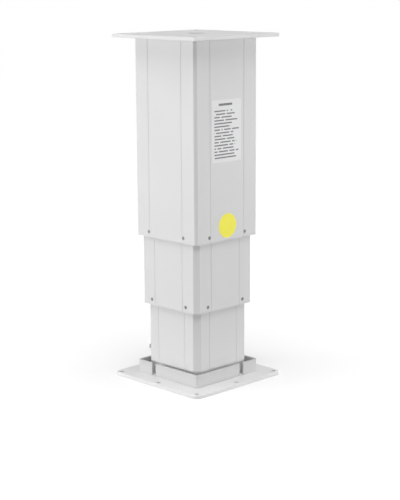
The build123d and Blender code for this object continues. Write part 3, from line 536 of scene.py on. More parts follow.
# Ground bearing steel: bright, with grinding marks round the axis, half a millimetre apart to show at all.
GROUND_STEEL = Finish(
    "ground_bearing_steel",
    "#B4B6B8",
    0.24,
    1.0,
    cloud_mm=8.0,
    tint=0.04,
    lines=Lines.TURNED,
    line_mm=0.5,
    line_depth_mm=0.006,
)
# Turned free-cutting steel: duller than ground steel, with marks about 0.8 mm apart.
TURNED_STEEL = Finish(
    "turned_steel",
    "#8F9295",
    0.38,
    1.0,
    cloud_mm=12.0,
    tint=0.05,
    lines=Lines.TURNED,
    line_mm=0.8,
    line_depth_mm=0.012,
)
# Turned leaded bronze of the spindle nuts: a warm metal that has dulled a little.
TURNED_BRONZE = Finish(
    "turned_bronze",
    "#B8975A",
    0.36,
    1.0,
    cloud_mm=14.0,
    tint=0.08,
    lines=Lines.TURNED,
    line_mm=0.7,
    line_depth_mm=0.012,
)
# Die-cast aluminium, left as cast: a pebbled matte skin, with grains about 1 mm across.
CAST_ALUMINIUM = Finish(
    "die_cast_aluminium", "#A3A6A8", 0.55, 1.0, cloud_mm=18.0, tint=0.07, grain_mm=1.0, grain_depth_mm=0.05
)
# Milled aluminium plate: the cutter's straight marks, 1.2 mm apart, across the column.
MILLED_ALUMINIUM = Finish(
    "milled_aluminium",
    "#C0C2C4",
    0.32,
    1.0,
    cloud_mm=30.0,
    tint=0.04,
    lines=Lines.MILLED,
    line_mm=1.2,
    line_depth_mm=0.01,
)
# Natural acetal, moulded or cut: a waxy off-white that slides well.
ACETAL = Finish(
    "natural_acetal", "#E9E7DE", 0.42, cloud_mm=20.0, tint=0.02, grain_mm=0.8, grain_depth_mm=0.012
)
# Black glass-filled nylon, moulded with a fine spark-eroded grain.
BLACK_NYLON = Finish(
    "moulded_black_nylon", "#1B1B1D", 0.48, cloud_mm=10.0, tint=0.1, grain_mm=0.5, grain_depth_mm=0.02
)
# Stoved black enamel on the drawn motor can: glossier than the nylon, and very slightly wavy.
BLACK_ENAMEL = Finish(
    "black_stoved_enamel", "#202124", 0.28, cloud_mm=25.0, tint=0.06, grain_mm=1.5, grain_depth_mm=0.015
)
# Green solder mask over a woven glass board: a thin gloss with the weave's 0.8 mm print-through.
SOLDER_MASK = Finish(
    "solder_mask_on_glass_epoxy", "#1D5A34", 0.3, cloud_mm=6.0, tint=0.15, grain_mm=0.8, grain_depth_mm=0.03
)
# Soft black vinyl jacket of the inner leads: matte, with faint drawing marks.
LEAD_VINYL = Finish(
    "soft_black_vinyl", "#171717", 0.55, cloud_mm=8.0, tint=0.12, grain_mm=0.7, grain_depth_mm=0.01
)
# Satin pale grey vinyl sticker with dark grey broken rows, where the real column has its rating label.
RATING_VINYL = RuledVinyl(
    "ruled_pale_grey_vinyl", "#DADBDB", 0.38, cloud_mm=30.0, tint=0.01, grain_mm=1.2, grain_depth_mm=0.006
)
# Plain yellow vinyl of a round marker sticker.
MARKER_VINYL = Finish(
    "plain_yellow_vinyl", "#EEE628", 0.4, cloud_mm=25.0, tint=0.03, grain_mm=1.2, grain_depth_mm=0.006
)
# Matte emulsion on the studio floor: nearly white, with slow faint patches.
FLOOR_PAINT = Finish(
    "matte_white_emulsion",
    "#FEFEFE",
    0.95,
    ior=1.0,
    cloud_mm=900.0,
    tint=0.002,
    grain_mm=6.0,
    grain_depth_mm=0.02,
)


@dataclass
class Skin:
    """One closed surface.

    Attributes:
        points: The points, one row each.
        quads: The four-sided faces, as point numbers.
        triangles: The three-sided faces, as point numbers.
    """

    points: np.ndarray
    quads: np.ndarray
    triangles: np.ndarray

    @classmethod
    def from_rings(cls, rings: np.ndarray, hollow: bool = False) -> "Skin":
        """Joins rings of points into a closed surface.

        The rings run anticlockwise seen from above, from the bottom pole outwards, up and back to the top
        pole, so the faces point outwards. Each face joins a ring's point to the next point and to the next
        ring.

        Args:
            rings: Points as rings x columns x 3.
            hollow: True where the last ring joins the first, as on a tube. Otherwise each end is closed by a
                point in its middle.

        Returns:
            The surface.
        """
        count, columns = rings.shape[:2]
        row = np.arange(count if hollow else count - 1)[:, None]
        column = np.arange(columns)[None, :]
        after = (column + 1) % columns
        above = (row + 1) % count
        here, over = row * columns, above * columns
        corners = (here + column, here + after, over + after, over + column)
        quads = np.stack(np.broadcast_arrays(*corners), axis=-1).reshape(-1, 4)
        points = rings.reshape(-1, 3)
        if hollow:
            return cls(points, quads, np.empty((0, 3), int))
        poles = np.stack([rings[0].mean(axis=0), rings[-1].mean(axis=0)])
        turn, ahead = column[0], after[0]
        last = (count - 1) * columns
        bottom = np.stack([np.full(columns, len(points)), ahead, turn], axis=-1)
        top = np.stack([np.full(columns, len(points) + 1), last + turn, last + ahead], axis=-1)
        return cls(np.vstack([points, poles]), quads, np.vstack([bottom, top]))

    def placed(self, places: np.ndarray) -> "Skin":
        """Copies the surface to each of several places.

        Args:
            places: A stack of 4 x 4 matrices.

        Returns:
            One surface that holds all the copies.
        """
        flat = np.hstack([self.points, np.ones((len(self.points), 1))])
        moved = np.einsum("nij,pj->npi", places, flat)[..., :3]
        step = (np.arange(len(places)) * len(self.points))[:, None, None]
        return Skin(
            moved.reshape(-1, 3), (self.quads + step).reshape(-1, 4), (self.triangles + step).reshape(-1, 3)
        )


def make_piece(
    name: str,
    parts: list[tuple[Skin, bpy.types.Material]],
    body: str,
    stands_for: tuple[str, ...] = (),
    uv: np.ndarray | None = None,
) -> bpy.types.Object:
    """Puts surfaces into one mesh that rides on a body.

    Args:
        name: The piece's name.
        parts: The surfaces, each with its material.
        body: The body that carries the piece.
        stands_for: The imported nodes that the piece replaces.
        uv: A place on the sticker's print for each point, or None.

    Returns:
        The new object, at the origin.
    """
    start, points, faces, index = 0, [], [], []
    for number, (skin, _) in enumerate(parts):
        points.append(skin.points)
        faces += (skin.quads + start).tolist() + (skin.triangles + start).tolist()
        index += [number] * (len(skin.quads) + len(skin.triangles))
        start += len(skin.points)
    mesh = bpy.data.meshes.new(name)
    mesh.from_pydata(np.vstack(points).tolist(), [], faces)
    for _, material in parts:
        mesh.materials.append(material)
    mesh.polygons.foreach_set("material_index", index)
    mesh.polygons.foreach_set("use_smooth", [True] * len(faces))
    mesh.set_sharp_from_angle(angle=math.radians(SHARP_DEGREES))
    if uv is not None:
        layer = mesh.uv_layers.new(name="print")
        corner = np.empty(len(mesh.loops), np.int32)
        mesh.loops.foreach_get("vertex_index", corner)
        layer.data.foreach_set("uv", uv[corner].astype(np.float32).ravel())
    mesh.update()
    piece = bpy.data.objects.new(name, mesh)
    bpy.context.scene.collection.objects.link(piece)
    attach(piece, body)
    if stands_for:
        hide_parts(*stands_for)
    LOG.info("%s: %d faces on %s", name, len(faces), body)
    return piece


def facing(origin: Triple, outward: Triple) -> np.ndarray:
    """Returns the matrix that takes +Z to an outward direction and the origin to a place in millimetres."""
    turn = Vector((0.0, 0.0, 1.0)).rotation_difference(Vector(outward)).to_matrix().to_4x4()
    return np.array(Matrix.Translation(Vector(origin) * MM) @ turn)


def polar(radius: np.ndarray | float, angle: np.ndarray, height: np.ndarray | float) -> np.ndarray:
    """Works out points round +Z: each is (radius cos angle, radius sin angle, height).

    Args:
        radius: The distance from the axis in millimetres.
        angle: The angle from +X in radians.
        height: The height in millimetres.

    Returns:
        The points in metres, in the shape that the three have together.
    """
    parts = np.broadcast_arrays(radius * np.cos(angle), radius * np.sin(angle), height)
    return np.stack(parts, axis=-1) * MM


def even_angles(columns: int) -> np.ndarray:
    """Returns the angles, in radians, that part a full turn into equal columns."""
    return np.linspace(0.0, 2 * np.pi, columns, endpoint=False)


def turned(profile: list[tuple[float, float]] | np.ndarray, angles: np.ndarray) -> np.ndarray:
    """Turns a profile round +Z, with each of its rows at each angle.

    Args:
        profile: Radius and height in millimetres, one row each.
        angles: The angles of the columns, in radians.

    Returns:
        Rings of points in metres.
    """
    rows = np.asarray(profile, float)
    return polar(rows[:, 0, None], angles, rows[:, 1, None])


class Recess(Enum):
    """The driver's recess in a screw head."""

    CROSS = "cross"
    SOCKET = "socket"


@dataclass
class Screw:
    """A screw that stands on +Z at the origin, with its recess upwards. Sizes are millimetres.

    Attributes:
        head: The head's diameter.
        shank: The shank's diameter.
        length: From under a cylindrical head, or from the top of a countersunk one, to the tip.
        head_height: The height of a cylindrical head, or 0 for a countersunk head.
        recess: The kind of recess.
        recess_size: The recess's width across.
        recess_depth: The recess's depth.
    """

    head: float
    shank: float
    length: float
    head_height: float = 0.0
    recess: Recess = Recess.SOCKET
    recess_size: float = 3.0
    recess_depth: float = 1.6

    def angles(self) -> np.ndarray:
        """Works out column angles that fall on the recess's corners.

        A socket's are even. A cross's stand round each arm's axis: on it, halfway to the last arm, and once
        and twice the arm's half-angle to either side.

        Returns:
            The angles in radians, one a column.
        """
        if self.recess is Recess.SOCKET:
            return even_angles(SCREW_COLUMNS)
        arm = np.degrees(np.arctan(CROSS_ARM))
        around = np.array([-45, -2 * arm, -arm, 0, arm, 2 * arm])
        return np.radians((np.arange(4)[:, None] * 90.0 + around).ravel())

    def mouth(self) -> np.ndarray:
        """Works out the recess's half-width at each angle.

        A socket's is (width / 2) / cos(angle from the middle of a flat). A cross's is the lesser of the
        arm's end, reach / cos, and of its side, CROSS_ARM x reach / sin, for the angle from the nearest arm.

        Returns:
            The half-widths in millimetres, one a column.
        """
        angle = np.degrees(self.angles())
        reach = self.recess_size / 2
        if self.recess is Recess.SOCKET:
            from_flat = np.radians((angle + 30.0) % 60.0 - 30.0)
            return reach / np.cos(from_flat)
        from_arm = np.radians(np.abs((angle + 45.0) % 90.0 - 45.0))
        side = CROSS_ARM * reach / np.maximum(np.sin(from_arm), 1e-6)
        return np.minimum(reach / np.cos(from_arm), side)

    def skin(self) -> Skin:
        """Makes the surface: a turned profile for tip, shank and head, then the mouth's outline going down.

        Returns:
            The screw's closed surface.
        """
        tip, edge = 0.4, 0.12
        shank, head, top = self.shank / 2, self.head / 2, self.head_height
        profile = [(shank - tip, -self.length), (shank, -self.length + tip)]
        if top:
            soft = 0.25 * top
            profile += [(shank, 0.0), (head, 0.0), (head, top - soft)]
            profile += [(head - 0.3 * soft, top - 0.3 * soft), (head - soft, top)]
        else:
            profile += [(shank, shank - head), (head, -edge), (head - edge, 0.0)]
        angles, mouth = self.angles(), self.mouth()
        floor = top - self.recess_depth
        # Each step down the recess is a share of the mouth's width and a height.
        steps = [(1.06, top), (1.0, top - edge), (0.86, floor), (0.3, floor - 0.25)]
        inner = np.stack([polar(share * mouth, angles, height) for share, height in steps])
        return Skin.from_rings(np.vstack([turned(profile, angles), inner]))


@dataclass
class ScrewSet:
    """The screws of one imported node, each kind with its places.

    Attributes:
        node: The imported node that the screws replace.
        body: The body that carries them.
        screw: The screw.
        places: Where each stands, in millimetres, and which way its head faces.
    """

    node: str
    body: str
    screw: Screw
    places: list[Place]

    def build(self, material: bpy.types.Material) -> bpy.types.Object:
        """Makes the set as one piece: a copy of the screw's surface at each place.

        Args:
            material: The screws' finish.

        Returns:
            The piece.
        """
        matrices = np.stack([facing(*place) for place in self.places])
        skin = self.screw.skin().placed(matrices)
        return make_piece(f"{self.node}_heads", [(skin, material)], self.body, (self.node,))


def square_of(reach: float, height: float, outward: Triple) -> list[Place]:
    """Returns four places at the corners of a square round the column's axis."""
    return [((x * reach, y * reach, height), outward) for x in (-1, 1) for y in (-1, 1)]


@dataclass
class Fasteners:
    """All the column's screws. Sizes are millimetres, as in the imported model.

    The foot screws of the outer and the middle tube are phosphated, and the others zinc-plated.

    Attributes:
        inner_channel: Half the spacing of the inner tube's screw channels.
        middle_channel: Half the spacing of the middle tube's.
        outer_channel: Half the spacing of the outer tube's.
        gear_spread: Half the spacing of the gear housing's screws.
        outer_half: Half the outer tube's width.
        middle_half: Half the middle tube's width.
        outer_reach: How far the outer tube's foot screws stand from the middle of a side.
        middle_reach: The same for the middle tube's.
        foot_height: The foot screws' height above the tube's foot.
        nut_circle: The radius of the fixed nut's screw circle.
        cover_reach: How far the gear cover's screws stand from the axis.
        flange_circle: The radius of the spindle flange's screw circle.
        bracket_across: The board bracket's screws' place on the X axis.
        bracket_along: Their places on the Y axis.
    """

    inner_channel: float = 55.144
    middle_channel: float = 62.215
    outer_channel: float = 69.003
    gear_spread: float = 38.0
    outer_half: float = 74.25
    middle_half: float = 69.25
    outer_reach: float = 42.75
    middle_reach: float = 42.25
    foot_height: float = 9.0
    nut_circle: float = 22.0
    cover_reach: float = 44.5
    flange_circle: float = 24.0
    bracket_across: float = -43.5
    bracket_along: tuple[float, float] = (-25.0, 15.0)

    @staticmethod
    def level(node: str, end: int) -> float:
        """Returns the lowest (0) or highest (1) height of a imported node, in millimetres."""
        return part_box(node)[end].z / MM

    @staticmethod
    def foot(half: float, reach: float, height: float) -> list[Place]:
        """Works out the foot screws' places: two a side, but one in the rear, beside the notch.

        Args:
            half: Half the tube's width.
            reach: How far the screws stand from the middle of a side.
            height: The height of the screws.

        Returns:
            The places, side by side round the tube.
        """
        sides = (
            ((-1, 1), lambda s: (s * reach, -half, height), (0.0, -1.0, 0.0)),
            ((-1, 1), lambda s: (half, s * reach, height), (1.0, 0.0, 0.0)),
            ((1,), lambda s: (s * reach, half, height), (0.0, 1.0, 0.0)),
            ((-1, 1), lambda s: (-half, s * reach, height), (-1.0, 0.0, 0.0)),
        )
        return [(spot(side), outward) for ends, spot, outward in sides for side in ends]

    def sets(self) -> list[ScrewSet]:
        """Lists every set of screws, from the floor up.

        Returns:
            The sets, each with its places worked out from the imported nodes.
        """
        plate = Screw(head=7.0, shank=4.4, length=20.0, recess_size=3.0, recess_depth=2.0)
        cap = Screw(head=8.0, shank=4.0, length=10.0, head_height=3.0, recess_size=3.2, recess_depth=1.5)
        short_cap = replace(cap, length=7.2)
        flange = Screw(head=7.0, shank=4.0, length=12.0, head_height=2.5, recess_size=2.8, recess_depth=1.2)
        nut = Screw(head=5.0, shank=2.6, length=7.7, recess_size=1.8, recess_depth=1.2)
        outer_foot = Screw(6.4, 3.0, 4.4, recess=Recess.CROSS, recess_size=3.8, recess_depth=1.7)
        middle_foot = replace(outer_foot, length=5.65)
        cover = self.level("gear_cover_screws", 1) - cap.head_height
        bracket = self.level("bracket_screws", 1) - short_cap.head_height
        head = self.level("head_plate_screws", 1)
        bearing = self.level("bearing_plate_screws", 1)
        top = self.level("top_plate_screws", 1)
        under_flange = self.level("flange_screws", 0) + flange.head_height
        flange_reach = self.flange_circle / math.sqrt(2)
        outer_foot_level = self.level("outer_tube", 0) + self.foot_height
        middle_foot_level = self.level("middle_tube", 0) + self.foot_height
        far, ring = self.cover_reach, self.nut_circle
        on_cover = [((x, y, cover), UP) for x, y in ((far, 0), (0, far), (0, -far))]
        on_bracket = [((self.bracket_across, y, bracket), UP) for y in self.bracket_along]
        on_nut = [((x, y, head), UP) for x, y in ((ring, 0), (0, ring), (-ring, 0), (0, -ring))]
        on_middle_foot = self.foot(self.middle_half, self.middle_reach, middle_foot_level)
        on_outer_foot = self.foot(self.outer_half, self.outer_reach, outer_foot_level)
        on_bearing_plate = square_of(self.middle_channel, bearing, UP)
        return [
            ScrewSet("base_screws", "base", plate, square_of(self.inner_channel, 0.0, DOWN)),
            ScrewSet("gear_housing_screws", "base", plate, square_of(self.gear_spread, 0.0, DOWN)),
            ScrewSet("gear_cover_screws", "base", cap, on_cover),
            ScrewSet("bracket_screws", "base", short_cap, on_bracket),
            ScrewSet("head_plate_screws", "base", plate, square_of(self.inner_channel, head, UP)),
            ScrewSet("fixed_nut_screws", "base", nut, on_nut),
            ScrewSet("middle_pad_screws", "middle_stage", middle_foot, on_middle_foot),
            ScrewSet("bearing_plate_screws", "middle_stage", plate, on_bearing_plate),
            ScrewSet("outer_pad_screws", "top_stage", outer_foot, on_outer_foot),
            ScrewSet("top_plate_screws", "top_stage", plate, square_of(self.outer_channel, top, UP)),
            ScrewSet("flange_screws", "top_stage", flange, square_of(flange_reach, under_flange, DOWN)),
        ]

    def build(self) -> None:
        """Makes every set, with the foot screws phosphated."""
        zinc, phosphate = ZINC_PLATE.build(), PHOSPHATE.build()
        for screws in self.sets():
            screws.build(phosphate if screws.node.endswith("pad_screws") else zinc)


@dataclass
class HexBolt:
    """A hexagon bolt that stands on the axis. Sizes are millimetres.

    Attributes:
        flats: The head's width across flats.
        head_height: The head's height.
        shank: The shank's diameter.
        chamfer: The chamfer of the tip, and the height of the one that rounds the head's corners.
    """

    flats: float = 13.0
    head_height: float = 4.4
    shank: float = 8.0
    chamfer: float = 0.7

    def skin(self, bottom: float, top: float) -> Skin:
        """Makes the surface: the hexagon's half-width is (flats / 2) / cos(angle from the middle of a flat).

        Args:
            bottom: The height of the tip.
            top: The height of the head's top.

        Returns:
            The bolt's closed surface.
        """
        angles = even_angles(SCREW_COLUMNS)
        from_flat = np.radians((np.degrees(angles) + 30.0) % 60.0 - 30.0)
        flat, shank = self.flats / 2, self.shank / 2
        hexagon = flat / np.cos(from_flat)
        washer, washer_height = np.minimum(hexagon, 0.98 * flat), 0.4
        face, edge = 0.9 * flat, 0.1
        seat = top - self.head_height
        rows = [
            (shank - self.chamfer, bottom),
            (shank, bottom + self.chamfer),
            (shank, seat),
            (washer, seat),
            (hexagon, seat + washer_height),
            (hexagon, top - self.chamfer),
            (washer, top - edge),
            (face, top),
        ]
        return Skin.from_rings(np.stack([polar(reach, angles, height) for reach, height in rows]))

    def build(self) -> bpy.types.Object:
        """Makes the bolt in zinc-plated steel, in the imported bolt's place on the top stage.

        Returns:
            The piece.
        """
        bottom, top = (corner.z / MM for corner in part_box("spindle_bolt"))
        parts = [(self.skin(bottom, top), ZINC_PLATE.build())]
        return make_piece("spindle_hex_bolt", parts, "top_stage", ("spindle_bolt",))


@dataclass
class SpindleSet:
    """The telescopic spindle: a right-hand hollow lead screw with a left-hand spindle inside it.

    Attributes:
        lead_mm: How far one turn moves each thread.
        starts: How many threads run side by side.
        columns: The columns round a thread.
        rows_per_pitch: The rings in one thread's pitch.
        groove_edge: Where the groove ends, as a share of the way from its middle to the crest's.
        flank: How much of that way a flank takes.
        groove_depth: The groove's depth as a share of the pitch.
        screw_radius: The lead screw's crest radius, in millimetres as all that follow.
        screw_bore: The radius of its bore.
        screw_neck: The length of its plain upper end.
        spindle_radius: The spindle's crest radius.
        spindle_bore: The radius of the bore that the drive shaft enters.
        spindle_neck: The length of its plain upper end.
        bolt_bore: The radius of the bolt's hole in it.
        bore_depth: How far the drive shaft may enter the spindle.
        step: How much less a neck's radius is than the crest's.
        edge: The chamfer at a lower end.
    """

    lead_mm: float = 10.0
    starts: int = 2
    columns: int = 36
    rows_per_pitch: int = 10
    groove_edge: float = 0.63
    flank: float = 0.26
    groove_depth: float = 0.25
    screw_radius: float = 13.0
    screw_bore: float = 10.0
    screw_neck: float = 3.0
    spindle_radius: float = 9.0
    spindle_bore: float = 6.25
    spindle_neck: float = 5.0
    bolt_bore: float = 4.05
    bore_depth: float = 176.0
    step: float = 1.0
    edge: float = 0.4

    def thread(self, radius: float, low: float, high: float, hand: int) -> np.ndarray:
        """Makes the rings of a trapezoid thread.

        The phase of a point is height / pitch - hand x starts x angle / 360 degrees, less its whole turns.
        The groove is deepest in the middle of the phase, and its flanks slope to a flat crest and a flat
        root. The groove runs out over one pitch at each end.

        Args:
            radius: The crest's radius in millimetres.
            low: The height where the thread starts.
            high: The height where it ends.
            hand: 1 for a right-hand thread, -1 for a left-hand one.

        Returns:
            Rings of points in metres, from the bottom up.
        """
        pitch = self.lead_mm / self.starts
        rows = int(round((high - low) / pitch * self.rows_per_pitch)) + 1
        height = np.linspace(low, high, rows)[:, None]
        angle = even_angles(self.columns)
        phase = (height / pitch - hand * self.starts * angle / (2 * np.pi)) % 1.0
        from_groove = np.abs(phase - 0.5) * 2
        groove = np.clip((self.groove_edge - from_groove) / self.flank, 0.0, 1.0)
        run_in = np.clip((height - low) / pitch, 0.0, 1.0)
        run_out = np.clip((high - height) / pitch, 0.0, 1.0)
        reach = radius - self.groove_depth * pitch * groove * run_in * run_out
        return polar(reach, angle, height)

    def build(self) -> None:
        """Makes the lead screw, the spindle and the spindle's bolt, each as one turned profile."""
        steel, angles = GROUND_STEEL.build(), even_angles(self.columns)
        # How far a thread stops short of its shoulders, and how far the hole goes past the bolt's tip.
        gap, play = 0.5, 0.3
        low, high = (corner.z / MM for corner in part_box("lead_screw"))
        shoulder = high - self.screw_neck
        crest, neck, bore = self.screw_radius, self.screw_radius - self.step, self.screw_bore
        lead_screw = [
            turned([(bore, low), (crest - self.edge, low)], angles),
            self.thread(crest, low + gap, shoulder - gap, 1),
            turned([(crest, shoulder), (neck, shoulder), (neck, high), (bore, high)], angles),
        ]
        skin = Skin.from_rings(np.vstack(lead_screw), hollow=True)
        make_piece("lead_screw_thread", [(skin, steel)], "turning_screw", ("lead_screw",))
        low, high = (corner.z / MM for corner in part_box("spindle"))
        shoulder = high - self.spindle_neck
        crest, neck, bore = self.spindle_radius, self.spindle_radius - self.step, self.spindle_bore
        bolt_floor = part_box("spindle_bolt")[0].z / MM - play
        ceiling = low + self.bore_depth
        drill_point = (2.0, ceiling + 1.5)
        foot = [drill_point, (bore, ceiling), (bore, low), (crest - self.edge, low)]
        head = [(crest, shoulder), (neck, shoulder), (neck, high)]
        hole = [(self.bolt_bore, high), (self.bolt_bore, bolt_floor)]
        spindle = [
            turned(foot, angles),
            self.thread(crest, low + gap, shoulder - gap, -1),
            turned(head + hole, angles),
        ]
        skin = Skin.from_rings(np.vstack(spindle))
        make_piece("spindle_thread", [(skin, steel)], "top_stage", ("spindle",))
        HexBolt().build()


@dataclass
class PowerInlet:
    """The round socket in the rear of the inner tube.

    Sizes are millimetres, and heights run along the socket from the tube's face.

    Attributes:
        radius: The barrel's radius.
        bore: The radius of its mouth.
        pin: The radius of the centre pin.
        inside: How far the barrel reaches into the tube.
        outside: How far it stands out.
        depth: The depth of the mouth.
        thread_from: Where the fine thread starts.
        thread_short: How far short of the barrel's end it stops.
        ring_step: The distance between the thread's rings, of which every third is a groove.
        thread_depth: The depth of the groove.
        columns: The columns round the socket.
    """

    radius: float = 3.85
    bore: float = 2.85
    pin: float = 1.0
    inside: float = 18.0
    outside: float = 12.0
    depth: float = 10.0
    thread_from: float = 2.8
    thread_short: float = 0.9
    ring_step: float = 0.25
    thread_depth: float = 0.22
    columns: int = 28

    def barrel(self) -> np.ndarray:
        """Works out the barrel's profile: the inner end, the thread's crests and grooves, and the lip.

        Returns:
            Radius and height in millimetres, one row each.
        """
        height = np.arange(self.thread_from, self.outside - self.thread_short, self.ring_step)
        groove = np.arange(len(height)) % 3 == 2
        thread = np.column_stack([self.radius - self.thread_depth * groove, height])
        wall, outer = self.bore + 0.05, self.radius - 0.3
        back, front = -self.inside, self.outside
        inner_end = [(wall, back), (outer, back), (self.radius, back + 0.4)]
        lip = [(self.radius, front - 0.5), (outer, front), (self.bore + 0.2, front), (wall, front - 0.3)]
        return np.vstack([inner_end, thread, lip])

    def build(self) -> bpy.types.Object:
        """Makes the plated barrel with its fine thread, and the black core with its pin, all turned profiles.

        Returns:
            The piece.
        """
        low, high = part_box("power_inlet")
        middle = (low + high) / 2 / MM
        place = facing((middle.x, high.y / MM - self.outside, middle.z), (0.0, 1.0, 0.0))[None]
        angles = even_angles(self.columns)
        floor, back, bore = self.outside - self.depth, -self.inside, self.bore
        core = [(bore - 0.3, back + 0.3), (bore, back + 0.6), (bore, floor), (1.3, floor)]
        pin = [(self.pin, floor - 0.4), (self.pin, self.outside - 1.2), (self.pin - 0.3, self.outside - 0.8)]
        zinc, nylon = ZINC_PLATE.build(), BLACK_NYLON.build()
        skins = [
            (Skin.from_rings(turned(self.barrel(), angles), hollow=True), zinc),
            (Skin.from_rings(turned(core, angles)), nylon),
            (Skin.from_rings(turned(pin, angles)), zinc),
        ]
        parts = [(skin.placed(place), material) for skin, material in skins]
        return make_piece("power_inlet_socket", parts, "base", ("power_inlet",))


@dataclass
class Sticker:
    """A thin sticker on the front of the outer tube. Sizes are millimetres.

    Attributes:
        name: The piece's name.
        finish: The vinyl and its print.
        middle: Where its middle stands, across and up.
        width: The width.
        height: The height.
        corner: The radius of its corners.
        face: The distance of the tube's front from the axis.
        thickness: The vinyl's thickness.
        arc_points: The points of each corner's arc.
    """

    name: str
    finish: Finish
    middle: tuple[float, float]
    width: float
    height: float
    corner: float
    face: float = 74.25
    thickness: float = 0.15
    arc_points: int = 11

    def outline(self, inset: float) -> np.ndarray:
        """Works out the outline: a quarter circle round the centre of each corner's arc.

        Args:
            inset: How far the outline is drawn in from the sticker's edge.

        Returns:
            Points across and up, anticlockwise seen from the front.
        """
        corners = np.array([(1, 1), (-1, 1), (-1, -1), (1, -1)])
        centres = corners * (self.width / 2 - self.corner, self.height / 2 - self.corner)
        angles = np.radians(np.linspace(0, 90, self.arc_points)[None, :] + np.arange(4)[:, None] * 90)
        arcs = np.stack([np.cos(angles), np.sin(angles)], axis=-1) * (self.corner - inset)
        return (centres[:, None, :] + arcs).reshape(-1, 2)

    def build(self) -> bpy.types.Object:
        """Makes the sticker: its back, its edge and its printed front, with a UV map over its whole face.

        Each layer is the outline, drawn in by so much and raised by so much.

        Returns:
            The piece.
        """
        soft, gap = 0.05, 0.02
        layers = [(soft, 0.0), (0.0, 0.03), (0.0, self.thickness - 0.04), (soft, self.thickness)]
        count = 4 * self.arc_points
        rings = np.stack(
            [np.column_stack([self.outline(inset), np.full(count, height)]) for inset, height in layers]
        )
        skin = Skin.from_rings(rings)
        uv = skin.points[:, :2] / (self.width, self.height) + 0.5
        across, up = self.middle
        # The sticker's own across, up and outward axes become +X, +Z and -Y, and millimetres become metres.
        rows = [[1, 0, 0, across], [0, 0, -1, -self.face - gap], [0, 1, 0, up], [0, 0, 0, 1 / MM]]
        front = np.array(rows) * MM
        return make_piece(self.name, [(skin.placed(front[None]), self.finish.build())], "top_stage", uv=uv)


STICKERS = (
    Sticker("rating_sticker", RATING_VINYL, middle=(-1.25, 440.75), width=69.5, height=104.5, corner=1.5),
    Sticker("marker_sticker", MARKER_VINYL, middle=(0.5, 279.0), width=42.0, height=42.0, corner=21.0),
)

GUIDES = ("inner_guide_frame", "middle_guide_frame", "middle_slide_pads", "outer_slide_pads")
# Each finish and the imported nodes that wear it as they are. The other nodes are replaced by detailed pieces.
DRESSED: tuple[tuple[Finish, tuple[str, ...]], ...] = (
    (PLATE_COAT, ("top_plate",)),
    # The base plate and the collar wear lit and shaded copies of the plate's coat: painted light and painted
    # shade.
    (BASE_COAT_PAINTED_LIGHT, ("base_plate",)),
    (COLLAR_COAT_PAINTED_SHADE, ("front_collar_wall", "rear_collar_wall", "left_collar_wall", "right_collar_wall")),
    (TUBE_COAT, ("inner_tube", "middle_tube", "outer_tube")),
    (ZINC_PLATE, ("inlet_nut", "board_bracket", "retaining_ring")),
    (GROUND_STEEL, ("output_bearing", "screw_bearing", "drive_shaft")),
    (TURNED_STEEL, ("drive_bush", "spindle_flange")),
    (TURNED_BRONZE, ("fixed_nut", "turning_nut")),
    (CAST_ALUMINIUM, ("gear_housing", "gear_cover")),
    (MILLED_ALUMINIUM, ("head_plate", "bearing_plate")),
    (ACETAL, (*GUIDES, "board_spacers")),
    (BLACK_ENAMEL, ("motor_can",)),
    (BLACK_NYLON, ("motor_end_cap",)),
    (SOLDER_MASK, ("control_board",)),
    (LEAD_VINYL, ("inlet_lead", "motor_lead")),
)


def dress(nodes: dict[str, bpy.types.Object]) -> None:
    """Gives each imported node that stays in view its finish.

    Args:
        nodes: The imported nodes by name.
    """
    for finish, names in DRESSED:
        material = finish.build()
        for name in names:
            nodes[name].data.materials.clear()
            nodes[name].data.materials.append(material)
        LOG.info("%s on %d nodes", finish.name, len(names))


@dataclass
class PhotoCamera:
    """The camera at the photograph's place and angle.

    Attributes:
        place: Where it stands, in metres.
        right: The direction of the picture's right side.
        up: The direction of the picture's top.
        back: The direction that it looks away from.
        focal_px: The focal length in pixels of the photograph.
        picture_px: The photograph's height in pixels.
        sensor_mm: The height of the camera's sensor.
        far: The distance where the view ends, in metres, past the floor's corners.
    """

    place: Triple = (-1.61963, -1.66232, 0.70885)
    right: Triple = (0.71378, -0.70035, -0.00616)
    up: Triple = (0.14709, 0.14130, 0.97898)
    back: Triple = (-0.68475, -0.69968, 0.20387)
    focal_px: float = 1357.15
    picture_px: float = 500.0
    sensor_mm: float = 36.0
    far: float = 200.0

    def build(self) -> bpy.types.Object:
        """Makes the camera the scene's own.

        Returns:
            The camera.
        """
        lens = bpy.data.cameras.new("photo_camera")
        lens.sensor_fit = "VERTICAL"
        lens.sensor_height = self.sensor_mm
        lens.lens = self.focal_px / self.picture_px * self.sensor_mm
        lens.clip_end = self.far
        camera = bpy.data.objects.new("photo_camera", lens)
        bpy.context.scene.collection.objects.link(camera)
        turn = Matrix((self.right, self.up, self.back)).transposed().to_4x4()
        camera.matrix_world = Matrix.Translation(self.place) @ turn
        bpy.context.scene.camera = camera
        return camera


